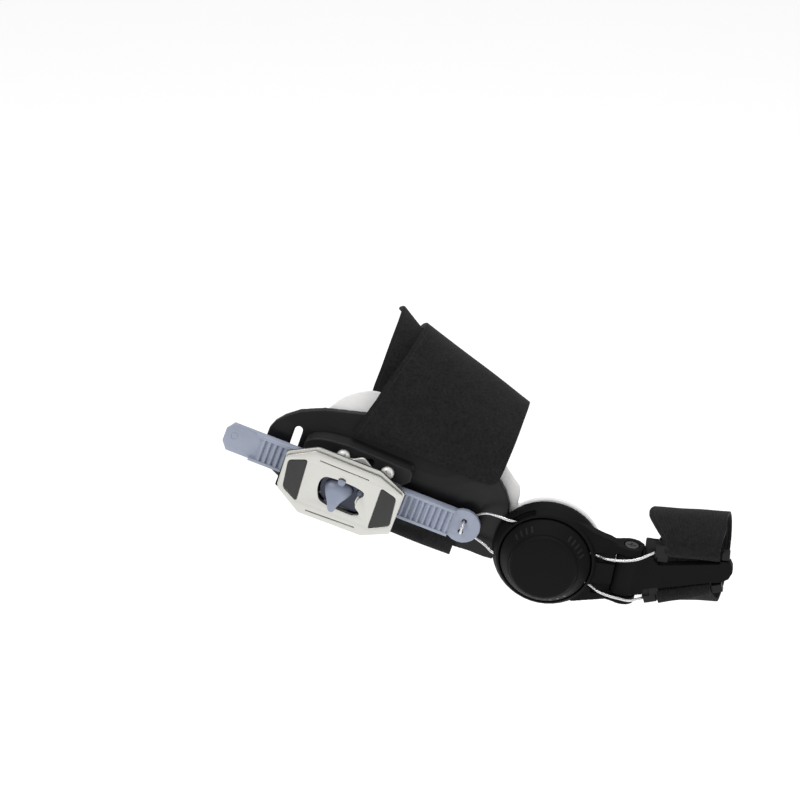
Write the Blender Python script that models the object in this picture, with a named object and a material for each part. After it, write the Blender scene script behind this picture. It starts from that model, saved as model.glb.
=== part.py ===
# Bunion corrector for a left foot, as worn: a curved rear shell with a liner and a foot strap,
# a ratchet buckle that pulls a ladder strap and its cable, a hub, a front arm and a toe plate.
#
# Axes: +X points to the toes, -Y out of the foot's inner side, +Z up.
# The origin is on the hub's axis, where the liner meets the skin.
# Sizes below are in millimetres, and MM turns them into metres.

import math

import bmesh
import bpy
from mathutils import Matrix, Vector

MM = 0.001

# Layers of the brace, measured outwards (towards -Y) from the skin at the hub.
GAP = 0.3
LINER_THICK = 2.0
SHELL_THICK = 2.2
STRAP_THICK = 2.4
TONGUE_THICK = 1.5

# The rear half slopes down towards the hub.
REAR_PITCH = 18.0

# Shell and liner: how the panel wraps round the foot behind the hub.
WRAP_RADIUS = 40.0
WRAP_CENTRE_Z = 3.0
WRAP_STARTS_X = -24.0
WRAP_FULL_X = -46.0

# Hub.
BOSS_RADIUS = 8.0
BORE_CLEARANCE = 0.05
FLANGE_RADIUS = 19.0
RING_BACK_Y = -4.8
CAVITY_FLOOR_Y = -6.4
CAP_BASE_Y = -9.6
CAP_RIM_Y = -12.3
CAP_TOP_Y = -18.4
CAP_RADIUS = 15.5
CAP_DISC_RADIUS = 10.2
CAVITY_RADIUS = 14.2
SHELL_DISC_RADIUS = 17.4
LINER_DISC_RADIUS = 18.4

# Buckle.
BUCKLE_X = -73.9
BUCKLE_Z = 1.5
# The buckle and its strap slope a little more than the shell and sit lower on it.
BUCKLE_TURN = 1.2
BUCKLE_DROP = 1.4
LADDER_Z = 2.1
LADDER_WIDTH = 10.4
LADDER_BACK_Y = -7.4
LADDER_FACE_Y = -10.4
TOOTH_PITCH = 2.07
TEETH = 34
TEETH_START_X = -105.0
STITCH_HOLES = (2.0, -2.1)
STITCH_X = -30.3
BRACKET_FACE_Y = -9.5
CHANNEL_Y = -7.1
BASE_SHEET = 1.0
BASE_TOP_Y = -12.0
LEVER_BACK_Y = -14.8
LEVER_FACE_Y = -17.0
LEVER_PIVOT_X = -57.0
LEVER_PIVOT_Y = -13.35
PIVOT_RADIUS = 1.2
PAWL_PIVOT_X = -72.4
PAWL_PIVOT_Y = -13.3
PIN_CLEARANCE = 0.05

# Front arm and toe plate. The toe hinge leans forwards at the top.
ARM_FACE_Y = -10.3
ARM_BACK_Y = -6.2
HINGE_X = 28.1
HINGE_Y = -7.4
HINGE_LEAN = 10.0
EAR_RADIUS = 4.7
HINGE_LIP = 0.6
KNUCKLE_RADIUS = 4.4
SCREW_RADIUS = 1.2
SCREW_HEAD_RADIUS = 2.4
EAR_TOP_K = 6.2
EAR_TOP_UNDER_K = 3.4
EAR_LOW_K = -14.8
EAR_LOW_OVER_K = -12.1
TOE_PLATE_FACE_Y = -10.2
TOE_PLATE_BACK_Y = -6.8
BAR_RADIUS = 0.9
BAR_Y = -8.6
CABLE_DIAMETER = 1.0

# Outline of the rear shell in the sloping rear frame: x along it, z across it. Its front edge
# lies a little inside the hub's disc.
SHELL_FRONT_X = 0.9 - SHELL_DISC_RADIUS
SHELL_OUTLINE = [
    (-103.7, 7.5), (-102.5, 10.4), (-100.0, 13.3), (-95.7, 16.5), (-88.0, 19.6),
    (-74.6, 22.6), (-60.0, 23.0), (-45.0, 22.5), (-34.0, 21.6), (-27.3, 20.4),
    (-23.5, 18.6), (-20.2, 15.4), (-17.5, 11.0),
    (SHELL_FRONT_X, 6.0), (SHELL_FRONT_X, -6.0),
    (-16.8, -10.6), (-20.0, -10.9), (-25.4, -10.7), (-31.3, -11.4), (-45.0, -11.6),
    (-55.0, -11.8), (-70.0, -12.2), (-85.0, -12.2), (-94.6, -10.4), (-98.2, -8.3),
    (-101.2, -5.2), (-103.0, -1.2), (-103.8, 3.2),
]

# Outline of the liner in the same frame.
LINER_OUTLINE = [
    (-89.5, 14.0), (-86.7, 19.6), (-82.9, 24.4), (-78.0, 27.4), (-72.9, 28.9),
    (-60.0, 29.3), (-45.0, 28.6), (-34.0, 27.4), (-26.6, 25.6), (-22.4, 22.2),
    (-19.0, 19.3), (-16.0, 16.4), (-15.0, 8.0), (-15.0, -8.0), (-20.0, -9.9),
    (-31.3, -10.4), (-55.0, -10.8), (-80.0, -11.0), (-87.5, -9.0), (-90.0, -2.0),
    (-90.5, 8.0),
]

# Slot through the shell's rear end: centre x, low z, high z, width.
REAR_SLOT = (-94.0, 2.6, 11.6, 2.8)

# Raised block under the buckle, in the rear frame.
BRACKET_OUTLINE = [
    (-90.6, -3.6), (-90.6, 11.3), (-88.8, 13.0), (-86.1, 14.2), (-82.0, 15.0),
    (-76.1, 15.6), (-53.6, 15.0), (-52.6, 14.0), (-52.4, 11.0), (-55.6, 7.4),
    (-55.6, -3.6),
]

# Screws and the empty hole on the bracket: x, z.
SCREW_SPOTS = [(-76.8, 10.95), (-60.8, 10.95)]
EMPTY_HOLE = (-67.5, 12.3)
SCREW_HEAD = 2.4

# The lever's face, its window and its inlays, from the buckle's centre.
LEVER_OUTLINE = [
    (-21.2, 7.0), (-11.6, 12.5), (11.2, 12.5), (21.2, 7.6),
    (21.2, -7.6), (12.0, -12.5), (-11.2, -12.5), (-21.2, -7.0),
]
WINDOW_OUTLINE = [
    (-6.6, 2.4), (-4.8, 4.4), (6.6, 4.4), (8.4, 2.6),
    (9.2, -4.4), (6.4, -6.2), (-3.0, -6.2), (-6.0, -3.8),
]
INLAY_OUTLINE = [(-19.4, 5.6), (-13.3, 8.6), (-12.9, -8.6), (-19.4, -5.2)]
INLAY_DEPTH = 0.8
GROOVE_Z = 9.9
GROOVE_HALF = 8.8
GROOVE_WIDTH = 0.5

# The foot strap's path on its inner face, from its start on the shell's lower part, under the
# sole, up the outer side, over the instep and down to its free end on the shell.
# Columns: x, y, z of its rear edge, x, y, z of its front edge, how closely it hugs the shell
# (1 is flat on it), how far inside it the tongue lies, and how far the tongue reaches past its
# rear edge, as a share of the strap's width.
STRAP_PATH = [
    (-76.0, -3.0, -10.5, -31.0, -4.9, -1.5, 1.0, 0.0, 0.0),
    (-76.0, -2.4, -11.9, -31.0, -4.8, -7.0, 1.0, 0.0, 0.0),
    (-76.0, -0.6, -13.2, -31.0, -3.5, -12.3, 0.0, 0.0, 0.0),
    (-76.0, 5.0, -13.6, -31.0, 2.0, -13.3, 0.0, 0.0, 0.0),
    (-76.0, 18.0, -13.6, -30.0, 16.0, -13.4, 0.0, 0.0, 0.0),
    (-76.0, 36.0, -13.6, -29.0, 36.0, -13.4, 0.0, 0.0, 0.0),
    (-76.0, 51.0, -13.0, -28.0, 51.0, -13.2, 0.0, 0.0, 0.0),
    (-75.0, 61.0, -8.5, -27.0, 60.0, -10.5, 0.0, 0.0, 0.0),
    (-74.0, 65.5, 1.5, -26.0, 63.5, -3.5, 0.0, 0.0, 0.0),
    (-72.0, 65.0, 14.0, -25.0, 62.0, 4.3, 0.0, 0.0, 0.0),
    (-70.0, 60.0, 25.5, -24.5, 55.5, 13.7, 0.0, 0.0, 0.25),
    (-68.0, 50.5, 35.2, -24.0, 44.0, 23.2, 0.0, 0.4, 0.25),
    (-66.5, 39.5, 42.0, -23.6, 33.0, 29.8, 0.0, 0.4, 0.24),
    (-66.0, 29.0, 46.6, -23.4, 23.0, 34.8, 0.0, 0.4, 0.22),
    (-67.0, 19.0, 45.8, -23.3, 13.0, 35.0, 0.0, 0.8, 0.18),
    (-69.0, 10.5, 40.0, -23.3, 4.5, 32.4, 0.1, 3.4, 0.13),
    (-71.5, 4.6, 32.4, -23.4, -1.8, 27.8, 0.5, 5.8, 0.08),
    (-73.4, 0.6, 24.6, -23.8, -4.6, 22.4, 1.0, 5.4, 0.03),
    (-74.4, -2.2, 17.4, -24.4, -5.0, 16.4, 1.0, 5.3, 0.03),
]
STRAP_STEPS = 3
STRAP_ACROSS = 7
# How far forwards the tongue goes, as a share of the strap's width, and its rows of the path.
TONGUE_FRONT = 0.5
TONGUE_FIRST_ROW = 11
TONGUE_LAST_ROW = 17

# Toe plate, seen from the side: x along the toe, z up.
TOE_PLATE_OUTLINE = [
    (31.4, 3.6), (33.6, 5.8), (36.9, 6.2), (36.9, 2.2), (38.4, 0.3), (48.0, 1.3), (57.2, 2.1),
    (59.2, 2.2), (59.8, 3.3), (62.8, 3.2), (63.6, 1.4), (63.7, -0.8), (62.4, -3.2),
    (60.2, -4.5), (55.6, -5.2), (46.0, -7.1), (35.6, -8.9), (33.3, -9.6), (33.0, -11.4),
    (30.2, -11.8), (28.2, -11.0), (28.2, 2.2),
]
# Bars beside the spine, with a square clip at each end: x, z, clip's length and width.
TOE_BAR_TOP = [(39.5, 5.9, 4.0, 4.6), (61.3, 5.2, 2.6, 2.8)]
TOE_BAR_LOW = [(35.8, -12.9, 4.4, 2.6), (58.6, -7.2, 3.6, 2.8)]

# The toe strap's path on its inner face. It wraps the top bar, goes over the toe, under it and
# round the bottom bar. Hem columns: y and z from the bar's middle.
# Loop columns: y, z, x of its rear edge, x of its front edge.
TOP_HEM = [(1.2, 2.2), (1.25, 0.6), (0.9, -0.9), (0.0, -1.25), (-0.9, -0.9), (-1.25, 0.6)]
TOE_LOOP = [
    (-8.7, 9.6, 42.0, 59.8), (-4.8, 12.2, 36.4, 60.8), (0.6, 13.5, 34.0, 60.6),
    (7.0, 12.4, 34.4, 60.6), (13.4, 9.4, 35.6, 60.8), (18.0, 4.6, 36.6, 61.0),
    (18.8, -1.6, 37.0, 61.0), (16.6, -8.0, 37.0, 60.6), (11.4, -12.4, 36.6, 60.0),
    (5.0, -14.2, 36.4, 59.4), (-2.5, -14.6, 37.0, 58.4),
]
LOW_HEM = [(0.4, -1.3), (-0.8, -1.0), (-1.25, 0.0), (-0.9, 0.9), (0.2, 1.25), (1.2, 0.6), (1.3, -0.2)]
TOP_HEM_X = (42.0, 59.3)
LOW_HEM_X = (38.6, 56.3)
TOE_STRAP_THICK = 1.2

# Cable routes: x, y, z in world axes. The rear cable makes one stitch through the ladder strap.
REAR_CABLE = [
    (-6.5, -8.0, 11.4), (-9.4, -9.1, 12.3), (-12.3, -10.2, 13.2), (-16.2, -9.8, 14.4),
    (-20.8, -7.6, 14.2), (-24.5, -6.2, 12.5), (-27.2, -6.1, 11.5), (-28.2, -6.9, 11.1),
    (-28.25, -9.2, 11.09), (-28.4, -11.0, 10.65), (-28.9, -11.4, 9.1), (-29.35, -11.0, 7.6),
    (-29.53, -9.2, 7.17), (-29.4, -6.9, 6.95), (-28.15, -6.1, 5.95), (-24.2, -6.2, 3.4),
    (-21.0, -7.2, 1.6), (-18.6, -8.2, -0.2), (-15.4, -8.2, -1.2), (-12.2, -8.2, -2.2),
]
FRONT_CABLE_TOP = [
    (11.0, -8.0, 3.0), (14.6, -9.1, 2.7), (18.2, -10.2, 2.4), (21.2, -12.2, 2.4),
    (25.0, -13.0, 2.5), (28.7, -13.1, 2.8), (32.0, -12.6, 3.4), (35.0, -11.2, 4.3),
    (37.05, -10.0, 4.9),
]
FRONT_CABLE_LOW = [
    (9.6, -8.0, -6.4), (13.0, -9.3, -8.0), (16.4, -10.6, -9.6), (18.6, -12.2, -10.3),
    (22.0, -13.0, -11.2), (25.6, -13.0, -12.0), (29.0, -12.4, -12.8), (31.6, -10.4, -13.1),
    (33.3, -8.8, -13.2),
]
# How many of each cable's points lie in the ring, where it has a hole for them.
HOLE_POINTS = 3


def wrap(x, z):
    """How far the foot falls away from the hub's plane at a place in the rear frame."""
    t = (WRAP_STARTS_X - x) / (WRAP_STARTS_X - WRAP_FULL_X)
    t = min(max(t, 0.0), 1.0)
    return t * t * (3.0 - 2.0 * t) * (z - WRAP_CENTRE_Z) ** 2 / (2.0 * WRAP_RADIUS)


def material(name, colour, rough, metal=0.0):
    made = bpy.data.materials.new(name)
    made.use_nodes = True
    shader = made.node_tree.nodes["Principled BSDF"]
    shader.inputs["Base Color"].default_value = (*colour, 1.0)
    shader.inputs["Roughness"].default_value = rough
    shader.inputs["Metallic"].default_value = metal
    made.diffuse_color = (*colour, 1.0)
    return made


def solid(name, mesh_maker, look):
    """Makes a named object from a bmesh that is built in millimetres."""
    mesh = bpy.data.meshes.new(name)
    mesh_maker.normal_update()
    bmesh.ops.recalc_face_normals(mesh_maker, faces=mesh_maker.faces)
    bmesh.ops.scale(mesh_maker, vec=(MM, MM, MM), verts=mesh_maker.verts)
    mesh_maker.to_mesh(mesh)
    mesh_maker.free()
    made = bpy.data.objects.new(name, mesh)
    bpy.context.scene.collection.objects.link(made)
    mesh.materials.append(look)
    return made


def prism(points, low, high, place):
    """A bmesh extruded from a flat outline. place(a, b, height) gives each corner in space."""
    bm = bmesh.new()
    bottom = [bm.verts.new(place(a, b, low)) for a, b in points]
    top = [bm.verts.new(place(a, b, high)) for a, b in points]
    bm.faces.new(bottom)
    bm.faces.new(list(reversed(top)))
    for i in range(len(points)):
        j = (i + 1) % len(points)
        bm.faces.new((bottom[j], bottom[i], top[i], top[j]))
    return bm


def side(a, b, height):
    """Outline across x and z, extruded along y."""
    return Vector((a, height, b))


def plan(a, b, height):
    """Outline across x and y, extruded along z."""
    return Vector((a, b, height))


def lathe(profile, centre=(0.0, 0.0), steps=44):
    """Turns a closed profile of (radius, y) about a line along y."""
    bm = bmesh.new()
    rings = []
    for radius, y in profile:
        if radius < 1e-6:
            rings.append([bm.verts.new((centre[0], y, centre[1]))])
            continue
        ring = []
        for i in range(steps):
            turn = 2.0 * math.pi * i / steps
            ring.append(bm.verts.new((
                centre[0] + radius * math.cos(turn), y, centre[1] + radius * math.sin(turn))))
        rings.append(ring)
    pairs = list(zip(rings, rings[1:]))
    if profile[0][0] > 1e-6:
        pairs.append((rings[-1], rings[0]))
    for one, two in pairs:
        for i in range(steps):
            j = (i + 1) % steps
            corners = [one[i % len(one)], one[j % len(one)], two[j % len(two)], two[i % len(two)]]
            distinct = list(dict.fromkeys(corners))
            if len(distinct) > 2:
                bm.faces.new(distinct)
    return bm


def circle(radius, centre=(0.0, 0.0), steps=32, start=0.0):
    points = []
    for i in range(steps):
        turn = start + 2.0 * math.pi * i / steps
        points.append((centre[0] + radius * math.cos(turn), centre[1] + radius * math.sin(turn)))
    return points


def box(low, high):
    outline = [(low[0], low[2]), (high[0], low[2]), (high[0], high[2]), (low[0], high[2])]
    return prism(outline, low[1], high[1], side)


def slanted(a, b, height):
    """Outline across the toe hinge, extruded along its leaning axis."""
    lean = math.radians(HINGE_LEAN)
    return Vector((
        HINGE_X + a * math.cos(lean) + height * math.sin(lean),
        HINGE_Y + b,
        height * math.cos(lean) - a * math.sin(lean)))


def panel(outline, inner, outer, step_x=6.0, step_z=4.0):
    """A solid panel from an outline, cut into a grid so that it can follow the foot.

    inner(x, z) and outer(x, z) give the y of its two faces.
    """
    bm = bmesh.new()
    bm.faces.new([bm.verts.new((x, 0.0, z)) for x, z in outline])
    for axis, step in ((0, step_x), (2, step_z)):
        values = [p[0] if axis == 0 else p[1] for p in outline]
        place = math.floor(min(values) / step) * step + step
        while place < max(values):
            normal = Vector((1, 0, 0)) if axis == 0 else Vector((0, 0, 1))
            bmesh.ops.bisect_plane(
                bm, geom=bm.verts[:] + bm.edges[:] + bm.faces[:], dist=0.01,
                plane_co=normal * place, plane_no=normal)
            place += step
    made = bmesh.ops.extrude_face_region(bm, geom=bm.faces[:])
    raised = {v for v in made["geom"] if isinstance(v, bmesh.types.BMVert)}
    for vertex in bm.verts:
        face = outer if vertex in raised else inner
        vertex.co.y = face(vertex.co.x, vertex.co.z)
    return bm


def band(rows, across, thick):
    """A strap from rows of points on its inner face, thickened away from the loop's inside."""
    count = len(rows)
    inner = rows
    outer = []
    for i in range(count):
        line = []
        for j in range(across + 1):
            before = rows[max(i - 1, 0)][j]
            after = rows[min(i + 1, count - 1)][j]
            left = rows[i][max(j - 1, 0)]
            right = rows[i][min(j + 1, across)]
            normal = (after - before).cross(right - left).normalized()
            line.append(rows[i][j] + normal * thick)
        outer.append(line)
    bm = bmesh.new()
    low = [[bm.verts.new(p) for p in line] for line in inner]
    high = [[bm.verts.new(p) for p in line] for line in outer]
    for i in range(count - 1):
        for j in range(across):
            bm.faces.new((low[i][j], low[i][j + 1], low[i + 1][j + 1], low[i + 1][j]))
            bm.faces.new((high[i][j], high[i + 1][j], high[i + 1][j + 1], high[i][j + 1]))
        for j in (0, across):
            bm.faces.new((low[i][j], low[i + 1][j], high[i + 1][j], high[i][j]))
    for i in (0, count - 1):
        for j in range(across):
            bm.faces.new((low[i][j], high[i][j], high[i][j + 1], low[i][j + 1]))
    return bm


def smooth_rows(table, steps):
    """Fills in a table of numbers with Catmull-Rom steps between its rows."""
    rows = []
    last = len(table) - 1
    for i in range(last):
        p0 = table[max(i - 1, 0)]
        p1 = table[i]
        p2 = table[i + 1]
        p3 = table[min(i + 2, last)]
        for k in range(steps):
            t = k / steps
            rows.append([
                0.5 * (2 * b + (c - a) * t + (2 * a - 5 * b + 4 * c - d) * t * t
                       + (3 * b - a - 3 * c + d) * t * t * t)
                for a, b, c, d in zip(p0, p1, p2, p3)])
    rows.append(list(table[-1]))
    return rows


def pitch(made, degrees=REAR_PITCH):
    """Turns a piece from the rear frame into world axes."""
    made.data.transform(Matrix.Rotation(math.radians(degrees), 4, "Y"))
    made.data.update()
    return made


def combine(target, tool, operation):
    """Applies one exact Boolean and removes the tool."""
    step = target.modifiers.new(operation.lower(), "BOOLEAN")
    step.operation = operation
    step.solver = "EXACT"
    step.object = tool
    bpy.context.view_layer.update()
    graph = bpy.context.evaluated_depsgraph_get()
    mesh = bpy.data.meshes.new_from_object(target.evaluated_get(graph))
    target.modifiers.clear()
    old = target.data
    look = old.materials[0]
    target.data = mesh
    bpy.data.meshes.remove(old)
    mesh.materials.clear()
    mesh.materials.append(look)
    bpy.data.objects.remove(tool, do_unlink=True)
    return target


def cut(target, bm):
    return combine(target, solid("cutter", bm, target.data.materials[0]), "DIFFERENCE")


def add(target, bm):
    return combine(target, solid("adder", bm, target.data.materials[0]), "UNION")


def rod(start, end, radius, steps=16):
    """A bmesh cylinder between two points."""
    along = end - start
    turn = along.to_track_quat("Z", "Y").to_matrix().to_4x4()
    bm = prism(circle(radius, steps=steps), 0.0, along.length, plan)
    bm.transform(Matrix.Translation(start) @ turn)
    return bm


def cable(name, route, look):
    """A steel cable as a filled tube along a hand-chosen route."""
    fine = smooth_rows(route, 2)
    curve = bpy.data.curves.new(name, "CURVE")
    curve.dimensions = "3D"
    curve.bevel_depth = CABLE_DIAMETER / 2.0 * MM
    curve.bevel_resolution = 2
    curve.use_fill_caps = True
    line = curve.splines.new("POLY")
    line.points.add(len(fine) - 1)
    for point, place in zip(line.points, fine):
        point.co = (place[0] * MM, place[1] * MM, place[2] * MM, 1.0)
    curve.materials.append(look)
    made = bpy.data.objects.new(name, curve)
    bpy.context.scene.collection.objects.link(made)
    return made


def set_pivot(made, place):
    """Moves an object's origin onto its joint axis without moving the piece."""
    shift = Vector(place) * MM
    made.data.transform(Matrix.Translation(-shift))
    made.location = shift
    return made


def turned(x, z):
    """Where a place in the buckle's own frame lies in the rear frame."""
    turn = math.radians(BUCKLE_TURN)
    dx = x - BUCKLE_X
    dz = z - BUCKLE_Z
    return (BUCKLE_X + dx * math.cos(turn) + dz * math.sin(turn),
            BUCKLE_Z - BUCKLE_DROP - dx * math.sin(turn) + dz * math.cos(turn))


def seat_buckle(made):
    """Turns a piece of the buckle from its own frame into world axes."""
    for vertex in made.data.vertices:
        x, z = turned(vertex.co.x / MM, vertex.co.z / MM)
        vertex.co.x = x * MM
        vertex.co.z = z * MM
    return pitch(made)


def in_world(x, y, z):
    """Where a place in the buckle's own frame lies in world axes."""
    across, up = turned(x, z)
    return Matrix.Rotation(math.radians(REAR_PITCH), 4, "Y") @ Vector((across, y, up))


def make_shell(look):
    inner = LINER_THICK + GAP
    outer = inner + SHELL_THICK
    shell = solid("rear_shell", panel(
        SHELL_OUTLINE,
        lambda x, z: wrap(x, z) - inner,
        lambda x, z: wrap(x, z) - outer), look)
    x, low, high, wide = REAR_SLOT
    slot = circle(wide / 2, (x, high - wide / 2), 16)[0:9] + [(x - wide / 2, low), (x + wide / 2, low)]
    cut(shell, prism(slot, -12.0, 8.0, side))
    pitch(shell)
    disc = lathe([
        (0.0, -inner), (SHELL_DISC_RADIUS, -inner), (SHELL_DISC_RADIUS, -outer),
        (BOSS_RADIUS, -outer), (BOSS_RADIUS, CAP_BASE_Y + 0.4), (0.0, CAP_BASE_Y + 0.4)])
    return add(shell, disc)


def make_liner(look):
    liner = solid("liner", panel(
        LINER_OUTLINE, lambda x, z: wrap(x, z), lambda x, z: wrap(x, z) - LINER_THICK), look)
    pitch(liner)
    disc = lathe([
        (0.0, 0.0), (LINER_DISC_RADIUS, 0.0),
        (LINER_DISC_RADIUS, -LINER_THICK), (0.0, -LINER_THICK)])
    return add(liner, disc)


def strap_row(numbers, span):
    """Points across the strap for one row of its path; span runs from 0 at the rear edge."""
    rear = Vector(numbers[0:3])
    front = Vector(numbers[3:6])
    hug = min(max(numbers[6], 0.0), 1.0)
    seat = LINER_THICK + GAP + SHELL_THICK + GAP + 0.1
    points = []
    for t in span:
        point = rear.lerp(front, t)
        point.y += hug * (wrap(point.x, point.z) - seat - point.y)
        points.append(point)
    return points


def make_foot_strap(look):
    span = [j / STRAP_ACROSS for j in range(STRAP_ACROSS + 1)]
    rows = [strap_row(row, span) for row in smooth_rows(STRAP_PATH, STRAP_STEPS)]
    return pitch(solid("foot_strap", band(rows, STRAP_ACROSS, STRAP_THICK), look))


def make_tongue(look):
    table = STRAP_PATH[TONGUE_FIRST_ROW - 1:TONGUE_LAST_ROW + 2]
    fine = smooth_rows(table, STRAP_STEPS)
    plain = []
    for row in fine:
        width = TONGUE_FRONT + row[8]
        plain.append(strap_row(row, [width * j / STRAP_ACROSS - row[8] for j in range(STRAP_ACROSS + 1)]))
    rows = []
    for i in range(STRAP_STEPS, len(fine) - STRAP_STEPS):
        line = []
        for j in range(STRAP_ACROSS + 1):
            along = plain[i + 1][j] - plain[i - 1][j]
            sideways = plain[i][min(j + 1, STRAP_ACROSS)] - plain[i][max(j - 1, 0)]
            outwards = along.cross(sideways).normalized()
            line.append(plain[i][j] - outwards * (max(fine[i][7], 0.35) + TONGUE_THICK))
        rows.append(line)
    return pitch(solid("strap_tongue", band(rows, STRAP_ACROSS, TONGUE_THICK), look))


def make_bracket(look):
    back = LINER_THICK + GAP + SHELL_THICK + GAP
    bracket = solid("buckle_bracket", panel(
        BRACKET_OUTLINE, lambda x, z: wrap(*turned(x, z)) - back, lambda x, z: BRACKET_FACE_Y,
        step_x=12.0), look)
    half = LADDER_WIDTH / 2 + GAP
    cut(bracket, box((-120.0, BRACKET_FACE_Y - 1, LADDER_Z - half),
                     (-20.0, CHANNEL_Y, LADDER_Z + half)))
    for x, z in SCREW_SPOTS:
        cut(bracket, prism(circle(SCREW_HEAD + 0.4, (x, z), 24), BRACKET_FACE_Y - 1,
                           BRACKET_FACE_Y + 0.9, side))
    cut(bracket, prism(circle(1.5, EMPTY_HOLE, 20), BRACKET_FACE_Y - 1, BRACKET_FACE_Y + 2.6, side))
    return seat_buckle(bracket)


def make_bracket_screw(name, spot, look):
    x, z = spot
    seat = BRACKET_FACE_Y + 0.9 - GAP
    screw = solid(name, lathe([
        (0.0, seat), (SCREW_HEAD, seat), (SCREW_HEAD, seat - 0.9),
        (SCREW_HEAD - 0.6, seat - 1.5), (0.0, seat - 1.7)], (x, z), 24), look)
    cut(screw, box((x - 4.0, seat - 3.0, z - 0.3), (x + 4.0, seat - 0.9, z + 0.3)))
    return seat_buckle(screw)


def make_base(look):
    """Steel bridge over the ladder strap, with lugs for the lever and the pawl."""
    low = BRACKET_FACE_Y - GAP
    top = BASE_TOP_Y
    half = LADDER_WIDTH / 2 + GAP
    outline = [
        (-92.0, LADDER_Z - half - 0.6), (-92.0, 4.6), (-89.6, LADDER_Z + half + 0.6), (-85.4, 10.8),
        (-81.4, 11.0), (-79.8, LADDER_Z + half + 0.6), (-73.4, LADDER_Z + half + 0.6),
        (-69.8, 12.6), (-67.6, 11.6), (-64.0, LADDER_Z + half + 0.6),
        (-54.6, LADDER_Z + half + 0.6), (-54.6, LADDER_Z - half - 0.6),
    ]
    base = solid("buckle_base", prism(outline, low, top, side), look)
    cut(base, box((-120.0, low + 1, LADDER_Z - half), (-20.0, top + BASE_SHEET, LADDER_Z + half)))
    cut(base, box((-120.0, low + 1, LADDER_Z + half + 0.55), (-20.0, low - 1.1, 20.0)))
    # The opening in the top sheet that the pawl's tooth goes through.
    cut(base, box((-69.6, top - 1, LADDER_Z - 4.2), (-64.6, top + 2, LADDER_Z + 3.2)))
    lug = [(-59.4, top + 0.3), (-55.4, top + 0.3), (-55.75, LEVER_PIVOT_Y - 0.3),
           (-56.3, LEVER_PIVOT_Y - 1.2), (-57.7, LEVER_PIVOT_Y - 1.2),
           (-58.6, LEVER_PIVOT_Y - 0.3)]
    for low_z, high_z in ((LADDER_Z - half + 0.2, LADDER_Z - half + 1.4),
                          (LADDER_Z + half - 1.4, LADDER_Z + half - 0.2)):
        add(base, prism(lug, low_z, high_z, plan))
    add(base, prism(circle(PIVOT_RADIUS, (LEVER_PIVOT_X, LEVER_PIVOT_Y), 32),
                    BUCKLE_Z - 8.6, BUCKLE_Z + 8.6, plan))
    ear = [(-74.6, top + 0.3), (-70.2, top + 0.3), (-71.0, PAWL_PIVOT_Y - 1.0),
           (-72.4, PAWL_PIVOT_Y - 1.5), (-73.8, PAWL_PIVOT_Y - 1.0)]
    for low_z, high_z in ((LADDER_Z - 5.2, LADDER_Z - 4.3), (LADDER_Z + 4.3, LADDER_Z + 5.2)):
        add(base, prism(ear, low_z, high_z, plan))
    add(base, prism(circle(0.8, (PAWL_PIVOT_X, PAWL_PIVOT_Y), 24),
                    LADDER_Z - 4.8, LADDER_Z + 4.8, plan))
    return seat_buckle(base)


def shifted(outline, mirror=1.0):
    return [(BUCKLE_X + mirror * x, BUCKLE_Z + z) for x, z in outline]


def make_lever(look):
    """The lever's face plate, with two arms down to its pivot."""
    bevel = 1.3
    bm = bmesh.new()
    shrink = [(x * (1 - bevel / 21.2), z * (1 - bevel / 12.5)) for x, z in LEVER_OUTLINE]
    loops = []
    for outline, y in ((LEVER_OUTLINE, LEVER_BACK_Y), (LEVER_OUTLINE, LEVER_FACE_Y + 1.1),
                       (shrink, LEVER_FACE_Y)):
        loops.append([bm.verts.new((x, y, z)) for x, z in shifted(outline)])
    bm.faces.new(loops[0])
    bm.faces.new(list(reversed(loops[2])))
    for one, two in zip(loops, loops[1:]):
        for i in range(len(one)):
            j = (i + 1) % len(one)
            bm.faces.new((one[j], one[i], two[i], two[j]))
    lever = solid("lever_plate", bm, look)
    cut(lever, prism(shifted(WINDOW_OUTLINE), LEVER_FACE_Y - 1, LEVER_BACK_Y + 1, side))
    for mirror in (1.0, -1.0):
        cut(lever, prism(shifted(INLAY_OUTLINE, mirror), LEVER_FACE_Y - 1,
                         LEVER_FACE_Y + INLAY_DEPTH, side))
    for z in (BUCKLE_Z + GROOVE_Z, BUCKLE_Z - GROOVE_Z):
        cut(lever, box((BUCKLE_X - GROOVE_HALF, LEVER_FACE_Y - 1, z - GROOVE_WIDTH / 2),
                       (BUCKLE_X + GROOVE_HALF, LEVER_FACE_Y + 0.4, z + GROOVE_WIDTH / 2)))
    arm = [(-63.0, LEVER_BACK_Y - 0.4), (-53.6, LEVER_BACK_Y - 0.4), (-54.4, LEVER_PIVOT_Y),
           (-55.2, LEVER_PIVOT_Y + 1.6), (-57.0, LEVER_PIVOT_Y + 2.0), (-58.8, LEVER_PIVOT_Y + 1.6)]
    reach = LADDER_WIDTH / 2 + GAP
    for low_z, high_z in ((BUCKLE_Z - 8.4, LADDER_Z - reach - 0.9),
                          (LADDER_Z + reach + 0.9, BUCKLE_Z + 8.4)):
        add(lever, prism(arm, low_z, high_z, plan))
    cut(lever, prism(circle(PIVOT_RADIUS + PIN_CLEARANCE, (LEVER_PIVOT_X, LEVER_PIVOT_Y), 32),
                     BUCKLE_Z - 12.0, BUCKLE_Z + 12.0, plan))
    return seat_buckle(lever)


def make_inlay(name, mirror, look):
    """A dark inlay that lies in the lever's pocket with a thin gap all round."""
    outline = shifted(INLAY_OUTLINE, mirror)
    cx = sum(p[0] for p in outline) / 4
    cz = sum(p[1] for p in outline) / 4
    smaller = [(cx + (x - cx) * 0.93, cz + (z - cz) * 0.965) for x, z in outline]
    return seat_buckle(solid(name, prism(smaller, LEVER_FACE_Y + INLAY_DEPTH - GAP,
                                         LEVER_FACE_Y - 0.1, side), look))


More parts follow.
